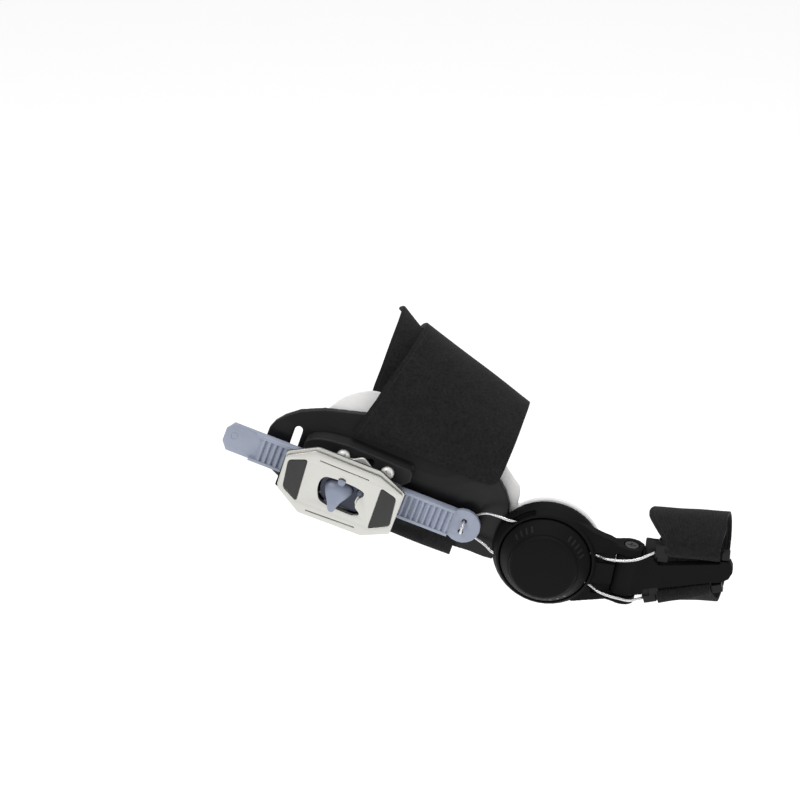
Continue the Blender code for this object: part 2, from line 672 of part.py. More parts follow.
def make_pawl(look):
    """The release pawl: a rocker with a tooth in front and a thumb ridge behind."""
    x = PAWL_PIVOT_X
    y = PAWL_PIVOT_Y
    body = [(x - 6.4, y - 0.6), (x - 5.0, y + 0.1), (x + 2.8, y + 0.6), (x + 3.2, y + 2.4),
            (x + 4.4, y + 2.6), (x + 5.6, y + 0.2), (x + 5.8, y - 1.0), (x + 3.4, y - 1.8),
            (x - 3.0, y - 2.2), (x - 6.0, y - 1.6)]
    pawl = solid("release_pawl", prism(body, LADDER_Z - 3.9, LADDER_Z + 2.9, plan), look)
    ridge = [(x - 4.8, LADDER_Z - 3.2), (x - 3.9, LADDER_Z + 0.4), (x - 2.2, LADDER_Z + 2.2),
             (x + 0.6, LADDER_Z + 2.6), (x + 2.6, LADDER_Z + 1.2), (x + 2.4, LADDER_Z - 1.0),
             (x - 0.6, LADDER_Z - 2.8), (x - 3.0, LADDER_Z - 3.7)]
    add(pawl, prism(ridge, y - 0.8, y - 4.6, side))
    cut(pawl, prism(circle(0.8 + PIN_CLEARANCE, (PAWL_PIVOT_X, PAWL_PIVOT_Y), 24),
                    LADDER_Z - 8.0, LADDER_Z + 8.0, plan))
    return seat_buckle(pawl)


def make_ladder(look):
    half = LADDER_WIDTH / 2
    end_x = -30.4
    end_radius = 6.2
    rear = [(-115.2, half), (-117.3, half - 3.0), (-117.3, -half + 3.0), (-115.2, -half)]
    shoulder = -35.4
    front = [(end_x + end_radius * math.cos(t), end_radius * math.sin(t))
             for t in [math.radians(-125 + 250 * i / 14) for i in range(15)]]
    outline = [(x, LADDER_Z + z) for x, z in rear + [(shoulder, -half)] + front + [(shoulder, half)]]
    ladder = solid("ladder_strap", prism(outline, LADDER_BACK_Y, LADDER_BACK_Y - 1.6, side), look)
    foot = LADDER_BACK_Y - 1.2
    tips = LADDER_FACE_Y + 0.2
    teeth = [(TEETH_START_X, foot)]
    for i in range(TEETH):
        x = TEETH_START_X + TOOTH_PITCH * i
        teeth += [(x, foot - 0.45), (x + TOOTH_PITCH * 0.55, tips), (x + TOOTH_PITCH * 0.8, tips)]
    teeth_end = TEETH_START_X + TOOTH_PITCH * TEETH
    teeth.append((teeth_end, foot - 0.45))
    teeth.append((teeth_end, foot))
    add(ladder, prism(teeth, LADDER_Z - half + 0.9, LADDER_Z + half - 0.9, plan))
    for low_z, high_z in ((-half, -half + 1.0), (half - 1.0, half)):
        add(ladder, box((TEETH_START_X - 2.0, LADDER_FACE_Y, LADDER_Z + low_z),
                        (teeth_end + 0.3, foot, LADDER_Z + high_z)))
    for z in STITCH_HOLES:
        cut(ladder, prism(circle(0.95, (STITCH_X, LADDER_Z + z), 16), -20.0, 0.0, side))
    return seat_buckle(ladder)


def tunnel(target, route, radius):
    """Cuts a straight hole along the first points of a route."""
    start = Vector(route[0])
    end = Vector(route[HOLE_POINTS - 1])
    over = (end - start).normalized() * radius
    cut(target, rod(start - over, end + over * 1.6, radius, 14))


def make_arm(look):
    """The hub's ring with the front arm and its two ears."""
    bore = BOSS_RADIUS + BORE_CLEARANCE
    seat = CAP_RADIUS + 0.35
    arm = solid("hub_arm", lathe([
        (bore, RING_BACK_Y), (FLANGE_RADIUS, RING_BACK_Y), (FLANGE_RADIUS, -6.6),
        (18.4, -8.6), (16.9, -11.4), (seat + 0.2, -11.9), (seat, CAP_BASE_Y),
        (CAVITY_RADIUS, CAP_BASE_Y), (CAVITY_RADIUS, CAVITY_FLOOR_Y),
        (bore + 1.6, CAVITY_FLOOR_Y), (bore + 1.6, CAP_BASE_Y + 0.4),
        (bore, CAP_BASE_Y + 0.4)]), look)
    lean = math.radians(HINGE_LEAN)
    near = KNUCKLE_RADIUS + GAP
    front = [(HINGE_X + h * math.cos(lean) + k * math.sin(lean),
              k * math.cos(lean) - h * math.sin(lean))
             for h, k in ((HINGE_LIP - near, EAR_TOP_UNDER_K), (HINGE_LIP - near, EAR_LOW_OVER_K))]
    outline = [
        (10.0, 14.8), (13.0, 13.2), (16.2, 11.1), (19.0, 9.7), (22.0, 8.6),
        (front[0][0] + 0.4, front[0][1] + 2.85), front[0], front[1],
        (front[1][0] - 0.4, front[1][1] - 2.65), (8.6, -15.9),
    ]
    outline += [(16.4 * math.cos(t), 16.4 * math.sin(t))
                for t in [math.radians(-58.7 + 112.0 * i / 12) for i in range(13)]]
    add(arm, prism(outline, ARM_BACK_Y, ARM_FACE_Y, side))
    cut(arm, prism(circle(near, steps=48), -30.0, 30.0, slanted))
    ear = [(-near - 3.0, 1.2), (-near - 3.0, -2.9)]
    ear += [(EAR_RADIUS * math.cos(t), EAR_RADIUS * math.sin(t))
            for t in [math.radians(-120 + 240 * i / 16) for i in range(17)]]
    for low, high in ((EAR_TOP_UNDER_K, EAR_TOP_K), (EAR_LOW_K, EAR_LOW_OVER_K)):
        add(arm, prism(ear, low, high, slanted))
    cut(arm, prism(circle(SCREW_RADIUS + PIN_CLEARANCE, steps=24), -30.0, 30.0, slanted))
    cut(arm, prism(circle(SCREW_HEAD_RADIUS + 0.3, steps=24), EAR_TOP_K - 1.3, 30.0, slanted))
    # Curved slot for the rear cable, then a hole for each leg of the cables.
    arc = [math.radians(a) for a in range(102, 137, 4)]
    slot = [(17.9 * math.cos(t), 17.9 * math.sin(t)) for t in arc]
    slot += [(16.6 * math.cos(t), 16.6 * math.sin(t)) for t in reversed(arc)]
    cut(arm, prism(slot, -16.0, -8.6, side))
    for route in (REAR_CABLE, REAR_CABLE[::-1], FRONT_CABLE_TOP, FRONT_CABLE_LOW):
        tunnel(arm, route, CABLE_DIAMETER / 2 + 0.35)
    cut(arm, box((17.6, -12.0, -0.4), (30.0, -9.2, 3.3)))
    cut(arm, box((15.4, -12.4, -11.9), (30.0, -9.2, -8.3)))
    return arm


def make_cap(look):
    """Stepped round cap with plain short ticks round its flank."""
    outer = CAP_RADIUS
    disc = CAP_DISC_RADIUS
    cap = solid("hub_cap", lathe([
        (0.0, CAP_BASE_Y - GAP), (outer - 0.2, CAP_BASE_Y - GAP), (outer, CAP_RIM_Y),
        (outer - 0.8, CAP_RIM_Y - 1.2), (outer - 2.4, CAP_RIM_Y - 3.0),
        (disc + 0.9, CAP_TOP_Y + 0.7), (disc + 0.5, CAP_TOP_Y + 0.5), (disc, CAP_TOP_Y),
        (0.0, CAP_TOP_Y)]), look)
    return cap


def make_toe_screw(look):
    low = EAR_LOW_K + 0.4
    head = EAR_TOP_K - 1.3 + GAP
    lean = math.radians(HINGE_LEAN)
    screw = solid("toe_hinge_screw", prism(circle(SCREW_RADIUS, steps=24), low, head, slanted), look)
    add(screw, prism(circle(SCREW_HEAD_RADIUS, steps=24), head - 0.01, head + 0.9, slanted))
    cut(screw, prism([(-0.3, -1.6), (0.3, -1.6), (0.3, 1.6), (-0.3, 1.6)], head + 0.4, 30.0, slanted))
    cut(screw, prism([(-1.6, -0.3), (1.6, -0.3), (1.6, 0.3), (-1.6, 0.3)], head + 0.4, 30.0, slanted))
    return screw


def make_toe_plate(look):
    plate = solid("toe_plate", prism(TOE_PLATE_OUTLINE, TOE_PLATE_BACK_Y, TOE_PLATE_FACE_Y, side),
                  look)
    low = EAR_LOW_OVER_K + GAP
    high = EAR_TOP_UNDER_K - GAP
    add(plate, prism(circle(KNUCKLE_RADIUS, steps=32), low, high, slanted))
    # The top cable runs through this notch to its clip.
    cut(plate, box((34.0, -14.0, 3.5), (40.0, -8.9, 8.0)))
    # Room for the ears as the plate turns.
    clear = EAR_RADIUS + GAP
    for start, end in ((high, 20.0), (-30.0, low)):
        cut(plate, prism(circle(clear, steps=32), start, end, slanted))
    cut(plate, prism(circle(SCREW_RADIUS + PIN_CLEARANCE, steps=24), -30.0, 30.0, slanted))
    return plate


def make_toe_bar(name, ends, look):
    """A bar through the strap's hem, with a square clip at each end."""
    start, end = [Vector((x, BAR_Y, z)) for x, z, long, wide in ends]
    along = (end - start).normalized()
    across = Vector((-along.z, 0.0, along.x))
    bar = solid(name, rod(start, end, BAR_RADIUS), look)
    for middle, (x, z, long, wide) in ((start, ends[0]), (end, ends[1])):
        bm = box((-long / 2, -wide / 2, -wide / 2), (long / 2, wide / 2, wide / 2))
        turn = Matrix((along, Vector((0, 1, 0)), across)).transposed().to_4x4()
        bm.transform(Matrix.Translation(middle) @ turn)
        add(bar, bm)
    return bar


def bar_height(ends, x):
    t = (x - ends[0][0]) / (ends[1][0] - ends[0][0])
    return ends[0][1] + t * (ends[1][1] - ends[0][1])


def hem_row(bar, hem, y, z):
    left, right = hem
    return (left, BAR_Y + y, bar_height(bar, left) + z, right, BAR_Y + y, bar_height(bar, right) + z)


def make_toe_strap(look):
    across = 4
    table = []
    for y, z in TOP_HEM:
        table.append(hem_row(TOE_BAR_TOP, TOP_HEM_X, y, z))
    for y, z, left, right in TOE_LOOP:
        table.append((left, y, z, right, y, z))
    for y, z in LOW_HEM:
        table.append(hem_row(TOE_BAR_LOW, LOW_HEM_X, y, z))
    rows = []
    for row in smooth_rows(table, 2):
        a = Vector(row[0:3])
        b = Vector(row[3:6])
        rows.append([a.lerp(b, j / across) for j in range(across + 1)])
    rows.reverse()
    return solid("toe_strap", band(rows, across, TOE_STRAP_THICK), look)


def main():
    for old in list(bpy.data.objects):
        bpy.data.objects.remove(old, do_unlink=True)

    black = material("black_plastic", (0.016, 0.016, 0.018), 0.45)
    fabric = material("black_fabric", (0.012, 0.012, 0.013), 0.9)
    white = material("white_foam", (0.78, 0.78, 0.76), 0.85)
    blue = material("blue_grey_plastic", (0.36, 0.40, 0.50), 0.4)
    cream = material("cream_metal", (0.72, 0.69, 0.60), 0.32, 1.0)
    dark = material("dark_inlay", (0.04, 0.04, 0.042), 0.55)
    steel = material("steel", (0.62, 0.62, 0.62), 0.3, 1.0)

    make_shell(black)
    make_liner(white)
    make_foot_strap(fabric)
    make_tongue(fabric)
    make_bracket(black)
    make_bracket_screw("bracket_screw_rear", SCREW_SPOTS[0], steel)
    make_bracket_screw("bracket_screw_front", SCREW_SPOTS[1], steel)
    make_base(steel)
    lever = make_lever(cream)
    inlays = [make_inlay("lever_inlay_rear", 1.0, dark), make_inlay("lever_inlay_front", -1.0, dark)]
    pawl = make_pawl(blue)
    make_ladder(blue)
    cable("rear_cable", REAR_CABLE, steel)
    arm = make_arm(black)
    cap = make_cap(black)
    cable("front_cable_top", FRONT_CABLE_TOP, steel)
    cable("front_cable_bottom", FRONT_CABLE_LOW, steel)
    screw = make_toe_screw(steel)
    plate = make_toe_plate(black)
    bars = [make_toe_bar("toe_bar_top", TOE_BAR_TOP, black),
            make_toe_bar("toe_bar_bottom", TOE_BAR_LOW, black)]
    toe_strap = make_toe_strap(fabric)

    lever_axis = in_world(LEVER_PIVOT_X, LEVER_PIVOT_Y, LADDER_Z)
    pawl_axis = in_world(PAWL_PIVOT_X, PAWL_PIVOT_Y, LADDER_Z)
    for piece in [lever] + inlays:
        set_pivot(piece, lever_axis)
    set_pivot(pawl, pawl_axis)
    for piece in [plate, toe_strap] + bars:
        set_pivot(piece, (HINGE_X, HINGE_Y, 0.0))


main()
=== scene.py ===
# %% [markdown]
# # A hinged bunion corrector, dressed for its picture
#
# A padded black shell is held by a wide soft strap. A ratchet buckle pulls a toothed strap and a
# steel cable, and the cable turns the round hub whose arm carries the small front band. The packed
# CAD model gives every size and place. This lesson puts real surfaces on it: rounded mouldings,
# cloth with a weave, brushed metal.

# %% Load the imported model
import math

import bpy
from mathutils import Matrix, Vector


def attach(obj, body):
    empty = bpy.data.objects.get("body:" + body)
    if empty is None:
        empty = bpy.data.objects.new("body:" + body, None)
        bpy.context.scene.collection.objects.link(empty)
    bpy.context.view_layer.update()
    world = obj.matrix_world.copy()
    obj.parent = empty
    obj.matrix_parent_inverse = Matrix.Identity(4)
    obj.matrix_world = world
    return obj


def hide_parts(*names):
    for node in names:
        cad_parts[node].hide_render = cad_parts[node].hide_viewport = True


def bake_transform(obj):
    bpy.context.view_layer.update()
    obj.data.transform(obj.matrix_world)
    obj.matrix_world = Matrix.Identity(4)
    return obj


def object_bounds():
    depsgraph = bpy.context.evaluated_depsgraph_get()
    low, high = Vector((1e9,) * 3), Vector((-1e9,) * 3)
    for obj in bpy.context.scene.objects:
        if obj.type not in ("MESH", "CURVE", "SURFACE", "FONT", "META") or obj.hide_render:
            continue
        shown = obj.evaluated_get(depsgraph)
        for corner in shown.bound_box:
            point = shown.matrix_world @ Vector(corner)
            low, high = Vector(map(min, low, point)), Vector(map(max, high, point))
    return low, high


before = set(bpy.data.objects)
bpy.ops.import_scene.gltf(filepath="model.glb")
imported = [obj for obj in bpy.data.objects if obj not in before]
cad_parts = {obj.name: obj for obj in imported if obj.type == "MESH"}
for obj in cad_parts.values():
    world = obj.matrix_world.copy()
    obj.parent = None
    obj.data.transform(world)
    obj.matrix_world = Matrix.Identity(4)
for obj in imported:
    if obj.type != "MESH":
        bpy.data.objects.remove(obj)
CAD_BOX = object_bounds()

MM = 0.001
print("CAD pieces:", len(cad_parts))

# %% [markdown]
# ## Camera
#
# The picture shows the brace's outer face, turned nine degrees and seen from twenty-five degrees
# above, with almost no perspective. A normal lens close by would swell the nearest parts, so a
# long lens stands far away. The width of the picture in millimetres sets that distance.

# %% Camera far away with a long lens
VIEW_TURN = math.radians(9.0)
VIEW_TILT = math.radians(25.0)
PICTURE_WIDTH = 272.0
LENS = 180.0
SENSOR = 36.0

view_right = Vector((math.cos(VIEW_TURN), math.sin(VIEW_TURN), 0.0))
view_back = Vector((math.sin(VIEW_TURN) * math.cos(VIEW_TILT),
                    -math.cos(VIEW_TURN) * math.cos(VIEW_TILT), math.sin(VIEW_TILT)))
view_up = view_back.cross(view_right)
middle = view_right * -51.2 + view_up * 49.6 + view_back * 12.0
distance = PICTURE_WIDTH * LENS / SENSOR

bpy.ops.object.camera_add(location=(middle + view_back * distance) * MM)
camera = bpy.context.object
camera.rotation_euler = view_back.to_track_quat("Z", "Y").to_euler()
camera.data.lens = LENS
camera.data.sensor_width = SENSOR
camera.data.clip_start = 0.05
camera.data.clip_end = 20.0
bpy.context.scene.camera = camera
print("camera stands", round(distance / 1000, 2), "m away")

# %% [markdown]
# ## Small helpers
#
# Every piece ends the same way: its modifiers are applied, its place goes into its mesh, and a
# piece whose body is given by name is told which body of the model it moves with. One function
# does this, so that no such piece is left behind when a joint turns.

# %% Selecting, applying and seating a piece
def only(piece):
    """Leaves one object selected and active, in object mode."""
    if bpy.context.object and bpy.context.object.mode != "OBJECT":
        bpy.ops.object.mode_set(mode="OBJECT")
    bpy.ops.object.select_all(action="DESELECT")
    piece.select_set(True)
    bpy.context.view_layer.objects.active = piece


def apply_all(piece):
    only(piece)
    bpy.ops.object.convert(target="MESH")
    bpy.ops.object.transform_apply(location=True, rotation=True, scale=True)


def closed(piece):
    """Makes a piece a mesh, joins the points of its seams and turns its faces outwards."""
    apply_all(piece)
    bpy.ops.object.mode_set(mode="EDIT")
    bpy.ops.mesh.select_all(action="SELECT")
    bpy.ops.mesh.remove_doubles(threshold=0.000002)
    bpy.ops.mesh.normals_make_consistent(inside=False)
    bpy.ops.object.mode_set(mode="OBJECT")
    return piece


def seat(piece, name, body, look, stands_for=()):
    """Finishes a piece: mesh, material, body and the CAD nodes that it stands for."""
    apply_all(piece)
    piece.name = name
    piece.data.name = name
    piece.data.materials.clear()
    piece.data.materials.append(look.material)
    piece.data.polygons.foreach_set("material_index", [0] * len(piece.data.polygons))
    if isinstance(body, str):
        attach(piece, body)
    else:
        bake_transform(piece)
    if stands_for:
        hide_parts(*stands_for)
    print(name, "has", len(piece.data.polygons), "faces")
    return piece


# %% [markdown]
# ## Shader arithmetic
#
# A material that is more than one flat colour needs sums on its textures. Written as Python
# expressions they read like the sums they are. `Wire` is one output of a node and knows how to
# add and multiply; `Finish` is the material that the nodes belong to.

# %% One wrapped socket and one material builder
class Wire:
    def __init__(self, finish, socket):
        self.finish = finish
        self.socket = socket

    def math(self, operation, first, second=0.0):
        return self.finish.node("ShaderNodeMath", {"operation": operation}, {0: first, 1: second})

    def __add__(self, other):
        return self.math("ADD", self, other)

    __radd__ = __add__

    def __sub__(self, other):
        return self.math("SUBTRACT", self, other)

    def __rsub__(self, other):
        return self.math("SUBTRACT", other, self)

    def __mul__(self, other):
        return self.math("MULTIPLY", self, other)

    __rmul__ = __mul__

    def __truediv__(self, other):
        return self.math("DIVIDE", self, other)

    def sine(self):
        return self.math("SINE", self)

    def absolute(self):
        return self.math("ABSOLUTE", self)

    def clamped(self):
        return self.finish.node("ShaderNodeClamp", {}, {0: self})


class Finish:
    """A Principled material, with one method that adds any node."""

    def __init__(self, name, **values):
        self.material = bpy.data.materials.new(name)
        self.material.use_nodes = True
        self.tree = self.material.node_tree
        self.shader = self.tree.nodes["Principled BSDF"]
        self.place = self.node("ShaderNodeTexCoord", {}, {}, "Object")
        self.set(**values)

    def node(self, kind, settings, inputs, output=0):
        made = self.tree.nodes.new(kind)
        for key, value in settings.items():
            setattr(made, key, value)
        for key, value in inputs.items():
            if isinstance(value, Wire):
                self.tree.links.new(value.socket, made.inputs[key])
            else:
                made.inputs[key].default_value = value
        return Wire(self, made.outputs[output])

    def set(self, **values):
        for key, value in values.items():
            socket = self.shader.inputs[key.replace("_", " ")]
            if isinstance(value, Wire):
                self.tree.links.new(value.socket, socket)
            else:
                socket.default_value = value
        return self

    def noise(self, size_mm, detail=2.0, place=None):
        return self.node("ShaderNodeTexNoise", {}, {
            "Vector": place or self.place, "Scale": 1.0 / (size_mm * MM), "Detail": detail})

    def mix(self, mask, low, high):
        return self.node("ShaderNodeMix", {"data_type": "RGBA"}, {
            0: mask, 6: (*low, 1.0) if isinstance(low, tuple) else low,
            7: (*high, 1.0) if isinstance(high, tuple) else high}, 2)

    def bump(self, height, depth_mm, strength=1.0):
        self.set(Normal=self.node("ShaderNodeBump", {}, {
            "Strength": strength, "Distance": depth_mm * MM, "Height": height}))
        return self

    def uv(self):
        """Where a point lies across and along the piece's own UV map, from 0 to 1."""
        place = self.node("ShaderNodeUVMap", {}, {})
        return [self.node("ShaderNodeSeparateXYZ", {}, {0: place}, number) for number in (0, 1)]


# %% [markdown]
# ## Finishes
#
# The black mouldings are satin: a fine spark-eroded grain breaks up the gloss. The fabrics are
# blacker still and quite matt, with a weave that is only seen close by. The toothed strap and
# the thumb piece are a smooth blue-grey plastic, the lever is a warm silver metal.

# %% Moulded plastics
def moulded(name, colour, rough, grain_mm, grain_depth_mm):
    made = Finish(name)
    patch = made.noise(9.0, 3.0)
    grain = made.noise(grain_mm, 2.0)
    made.set(Roughness=patch * 0.14 + (rough - 0.07))
    lighter = tuple(c * 1.35 for c in colour)
    made.set(Base_Color=made.mix(patch, colour, lighter))
    return made.bump(grain, grain_depth_mm, 0.5)


satin_black = moulded("satin_black_plastic", (0.0042, 0.0042, 0.0048), 0.38, 0.35, 0.03)
satin_black.set(Specular_IOR_Level=0.32)
matt_black = moulded("matt_black_plastic", (0.0045, 0.0045, 0.005), 0.5, 0.3, 0.03)
matt_black.set(Specular_IOR_Level=0.28)
block_black = moulded("block_black_plastic", (0.012, 0.012, 0.013), 0.5, 0.3, 0.03)
block_black.set(Specular_IOR_Level=0.3)
hub_black = moulded("hub_black_plastic", (0.0040, 0.0040, 0.0046), 0.60, 0.35, 0.03)
hub_black.set(Specular_IOR_Level=0.10)
charcoal = moulded("charcoal_inlay", (0.027, 0.027, 0.0262), 0.62, 0.4, 0.05)
blue_grey = moulded("blue_grey_plastic", (0.285, 0.315, 0.395), 0.33, 0.9, 0.01)
blue_grey.set(Subsurface_Weight=0.05, Subsurface_Radius=(0.002, 0.002, 0.003))
# The thumb piece's colour is painted shade: blue-grey near the lever's face, navy deeper in the
# window.
thumb_plastic = Finish("thumb_plastic", Roughness=0.28)
depth = thumb_plastic.node("ShaderNodeSeparateXYZ", {}, {0: thumb_plastic.place}, 1)
painted_shade_mask = ((depth * -1000.0 - 15.5) / 2.7).clamped()
thumb_plastic.set(Base_Color=thumb_plastic.mix(painted_shade_mask, (0.018, 0.024, 0.055), (0.30, 0.34, 0.44)))
thumb_plastic.bump(thumb_plastic.noise(0.9), 0.01, 0.5)

print("plastics:", len(bpy.data.materials))

# %% Metals
def metal(name, colour, rough, scratch_depth_mm):
    made = Finish(name, Metallic=1.0)
    stretched = made.node("ShaderNodeMapping", {}, {0: made.place, 3: (1.0, 1.0, 14.0)})
    lines = made.noise(2.2, 4.0, stretched)
    cloudy = made.noise(6.0, 2.0)
    made.set(Roughness=lines * 0.10 + cloudy * 0.08 + (rough - 0.09))
    made.set(Base_Color=made.mix(cloudy, colour, tuple(min(c * 1.06, 1.0) for c in colour)))
    return made.bump(lines, scratch_depth_mm, 0.4)


cream_metal = metal("cream_metal", (0.60, 0.595, 0.565), 0.30, 0.008)
satin_steel = metal("satin_steel", (0.66, 0.655, 0.63), 0.34, 0.01)
dull_steel = metal("dull_steel", (0.92, 0.91, 0.89), 0.50, 0.01).set(Metallic=0.6)
dark_steel = metal("dark_steel", (0.11, 0.11, 0.115), 0.36, 0.01)
cable_steel = metal("cable_steel", (0.74, 0.74, 0.75), 0.24, 0.002)

# %% Cloths
SEAM_INSET = 1.6
SEAM_HALF_WIDTH = 0.35


def woven(name, colour, thread_mm, wide_mm, long_mm, depth_mm, rib=0.0):
    """Cloth whose threads follow the piece's UV map; wide_mm and long_mm are its flat size."""
    made = Finish(name, Roughness=0.93, Sheen_Weight=0.04, Sheen_Roughness=0.5,
                  Specular_IOR_Level=0.12)
    across, along = made.uv()
    warp = (across * (wide_mm / thread_mm * math.pi)).sine()
    weft = (along * (long_mm / thread_mm * math.pi)).sine()
    fuzz = made.noise(0.9, 4.0)
    patch = made.noise(3.0, 4.0)
    checks = warp * weft
    height = checks * 0.5 + fuzz * 0.9
    if rib:
        height = height + (across * (wide_mm / rib * math.pi * 2.0)).sine() * 1.2
    beside = (across - SEAM_INSET / wide_mm).absolute()
    seam = (1.0 - beside * (wide_mm / SEAM_HALF_WIDTH)).clamped()
    height = height - seam * 2.0
    mask = (checks * 0.18 + fuzz * 1.6 + patch * 0.8 + seam * 0.5 - 0.7).clamped()
    made.set(Base_Color=made.mix(mask, colour, tuple(c * 2.6 for c in colour)))
    return made.bump(height, depth_mm, 0.8)


neoprene = woven("neoprene_jersey", (0.0080, 0.0080, 0.0086), 0.42, 46.0, 210.0, 0.09)
tongue_cloth = woven("tongue_jersey", (0.0088, 0.0088, 0.0094), 0.42, 36.0, 60.0, 0.08)
elastic = woven("ribbed_elastic", (0.0082, 0.0082, 0.0089), 0.5, 24.0, 95.0, 0.12, rib=1.1)
print("cloths:", neoprene.material.name, tongue_cloth.material.name, elastic.material.name)

# %% White padding
padding = Finish("white_padding", Roughness=0.95, Sheen_Weight=0.2)
pores = padding.node("ShaderNodeTexVoronoi", {}, {"Vector": padding.place, "Scale": 1400.0})
dust = padding.noise(3.0, 3.0)
padding.set(Base_Color=padding.mix(dust, (0.90, 0.89, 0.885), (0.96, 0.95, 0.945)))
padding.bump(pores, 0.08, 0.6)
print("finishes made:", len(bpy.data.materials))

# %% [markdown]
# ## The steel cables
#
# Each cable is about a millimetre thick and laid from six strands. A plain tube would shine like a
# wire, so six thin round strands are wound about the cable's own route and joined. The routes
# repeat the points of the CAD model, in millimetres. A cable that crosses a hinge is given its two
# bodies and bend points, but it is only baked in place and attached to neither body.

# %% Cable routes
REAR_CABLE = [
    (-6.5, -8.0, 11.4), (-9.4, -9.1, 12.3), (-12.3, -10.2, 13.2), (-16.2, -9.8, 14.4),
    (-20.8, -7.6, 14.2), (-24.5, -6.2, 12.5), (-27.2, -6.1, 11.5), (-28.2, -6.9, 11.1),
    (-28.25, -9.2, 11.09), (-28.4, -11.0, 10.65), (-28.9, -11.4, 9.1), (-29.35, -11.0, 7.6),
    (-29.53, -9.2, 7.17), (-29.4, -6.9, 6.95), (-28.15, -6.1, 5.95), (-24.2, -6.2, 3.4),
    (-21.0, -7.2, 1.6), (-18.6, -8.2, -0.2), (-15.4, -8.2, -1.2), (-12.2, -8.2, -2.2),
]
FRONT_CABLE_TOP = [
    (11.0, -8.0, 3.0), (14.6, -9.1, 2.7), (18.2, -10.2, 2.4), (21.2, -12.2, 2.4),
    (25.0, -13.0, 2.5), (28.7, -13.1, 2.8), (32.0, -12.6, 3.4), (35.0, -11.2, 4.3),
    (37.05, -10.0, 4.9),
]
FRONT_CABLE_LOW = [
    (9.6, -8.0, -6.4), (13.0, -9.3, -8.0), (16.4, -10.6, -9.6), (18.6, -12.2, -10.3),
    (22.0, -13.0, -11.2), (25.6, -13.0, -12.0), (29.0, -12.4, -12.8), (31.6, -10.4, -13.1),
    (33.3, -8.8, -13.2),
]
STRANDS = 6
STRAND_RADIUS = 0.19
LAY_RADIUS = 0.31
LAY_LENGTH = 5.2
print("points in the routes:", len(REAR_CABLE), len(FRONT_CABLE_TOP), len(FRONT_CABLE_LOW))


# %% A smooth path through a table of numbers
def smooth_rows(table, steps):
    """Fills in rows between those of a table with Catmull-Rom steps."""
    rows = []
    last = len(table) - 1
    for i in range(last):
        p0, p1, p2, p3 = (table[min(max(i + k, 0), last)] for k in (-1, 0, 1, 2))
        for k in range(steps):
            t = k / steps
            rows.append([
                0.5 * (2 * b + (c - a) * t + (2 * a - 5 * b + 4 * c - d) * t * t
                       + (3 * b - a - 3 * c + d) * t * t * t)
                for a, b, c, d in zip(p0, p1, p2, p3)])
    rows.append(list(table[-1]))
    return rows


# %% Winding six strands about a route
def stranded(name, route, body):
    path = [Vector(p) for p in smooth_rows(route, 8)]
    curve = bpy.data.curves.new(name, "CURVE")
    curve.dimensions = "3D"
    curve.bevel_depth = STRAND_RADIUS * MM
    curve.bevel_resolution = 1
    curve.use_fill_caps = True
    side = Vector((0.0, 0.0, 1.0))
    run = 0.0
    frames = []
    for i, point in enumerate(path):
        along = (path[min(i + 1, len(path) - 1)] - path[max(i - 1, 0)]).normalized()
        side = (side - along * side.dot(along)).normalized()
        if i:
            run += (point - path[i - 1]).length
        frames.append((point, side.copy(), along.cross(side), run))
    for strand in range(STRANDS):
        line = curve.splines.new("POLY")
        line.points.add(len(frames) - 1)
        for place, (point, one, two, gone) in zip(line.points, frames):
            turn = 2.0 * math.pi * (strand / STRANDS + gone / LAY_LENGTH)
            at = point + (one * math.cos(turn) + two * math.sin(turn)) * LAY_RADIUS
            place.co = (*(at * MM), 1.0)
    piece = bpy.data.objects.new(name, curve)
    bpy.context.scene.collection.objects.link(piece)
    seat(closed(piece), name + "_strands", body, cable_steel, (name,))
    bpy.ops.object.shade_smooth_by_angle(angle=math.radians(60.0))


HUB_BEND = ("brace", "front_arm", (-0.0235, -0.008, 0.008), (-0.0135, -0.008, 0.005))
TOE_BEND = ("front_arm", "toe_rest", (0.023, -0.012, -0.004), (0.032, -0.012, -0.004))
stranded("rear_cable", REAR_CABLE, HUB_BEND)
stranded("front_cable_top", FRONT_CABLE_TOP, TOE_BEND)
stranded("front_cable_bottom", FRONT_CABLE_LOW, TOE_BEND)

# %% [markdown]
# ## Moulded pieces from the CAD solids
#
# The CAD solids have the right walls, holes and slots but knife-sharp edges, and a real moulding
# never has those. One way is a bevel on every edge; on a shape cut by many holes it leaves nicks.
# Here a copy of the solid is remeshed into tiny even faces and relaxed a little, so each edge
# rolls over softly, as it does out of a polished mould.

# %% Copying and softening a moulding
def copy_of(node):
    """A free copy of a CAD node's mesh with its loose triangles joined up."""
    piece = bpy.data.objects.new(node + "_copy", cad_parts[node].data.copy())
    bpy.context.scene.collection.objects.link(piece)
    only(piece)
    bpy.ops.object.mode_set(mode="EDIT")
    bpy.ops.mesh.select_all(action="SELECT")
    bpy.ops.mesh.remove_doubles(threshold=0.000002)
    bpy.ops.mesh.dissolve_limited(angle_limit=math.radians(1.0))
    bpy.ops.object.mode_set(mode="OBJECT")
    return piece


def melted(piece, voxel, rounds):
    """Remeshes a piece into small even faces and relaxes them."""
    apply_all(piece)
    piece.data.remesh_voxel_size = voxel * MM
    piece.data.use_remesh_fix_poles = False
    bpy.ops.object.voxel_remesh()
    relax = piece.modifiers.new("relax", "SMOOTH")
    relax.factor = 0.5
    relax.iterations = rounds
    return piece


def joined(pieces):
    """Joins pieces into the first one."""
    for piece in pieces:
        apply_all(piece)
    only(pieces[0])
    for piece in pieces[1:]:
        piece.select_set(True)
    if len(pieces) > 1:
        bpy.ops.object.join()
    return pieces[0]


def softened(node, body, look, voxel, rounds, extra=()):
    """Turns a CAD node into a moulding with soft edges; extra pieces melt into it."""
    piece = melted(joined([copy_of(node), *extra]), voxel, rounds)
    seat(piece, node + "_moulding", body, look, (node,))
    bpy.ops.object.shade_smooth()
    return piece


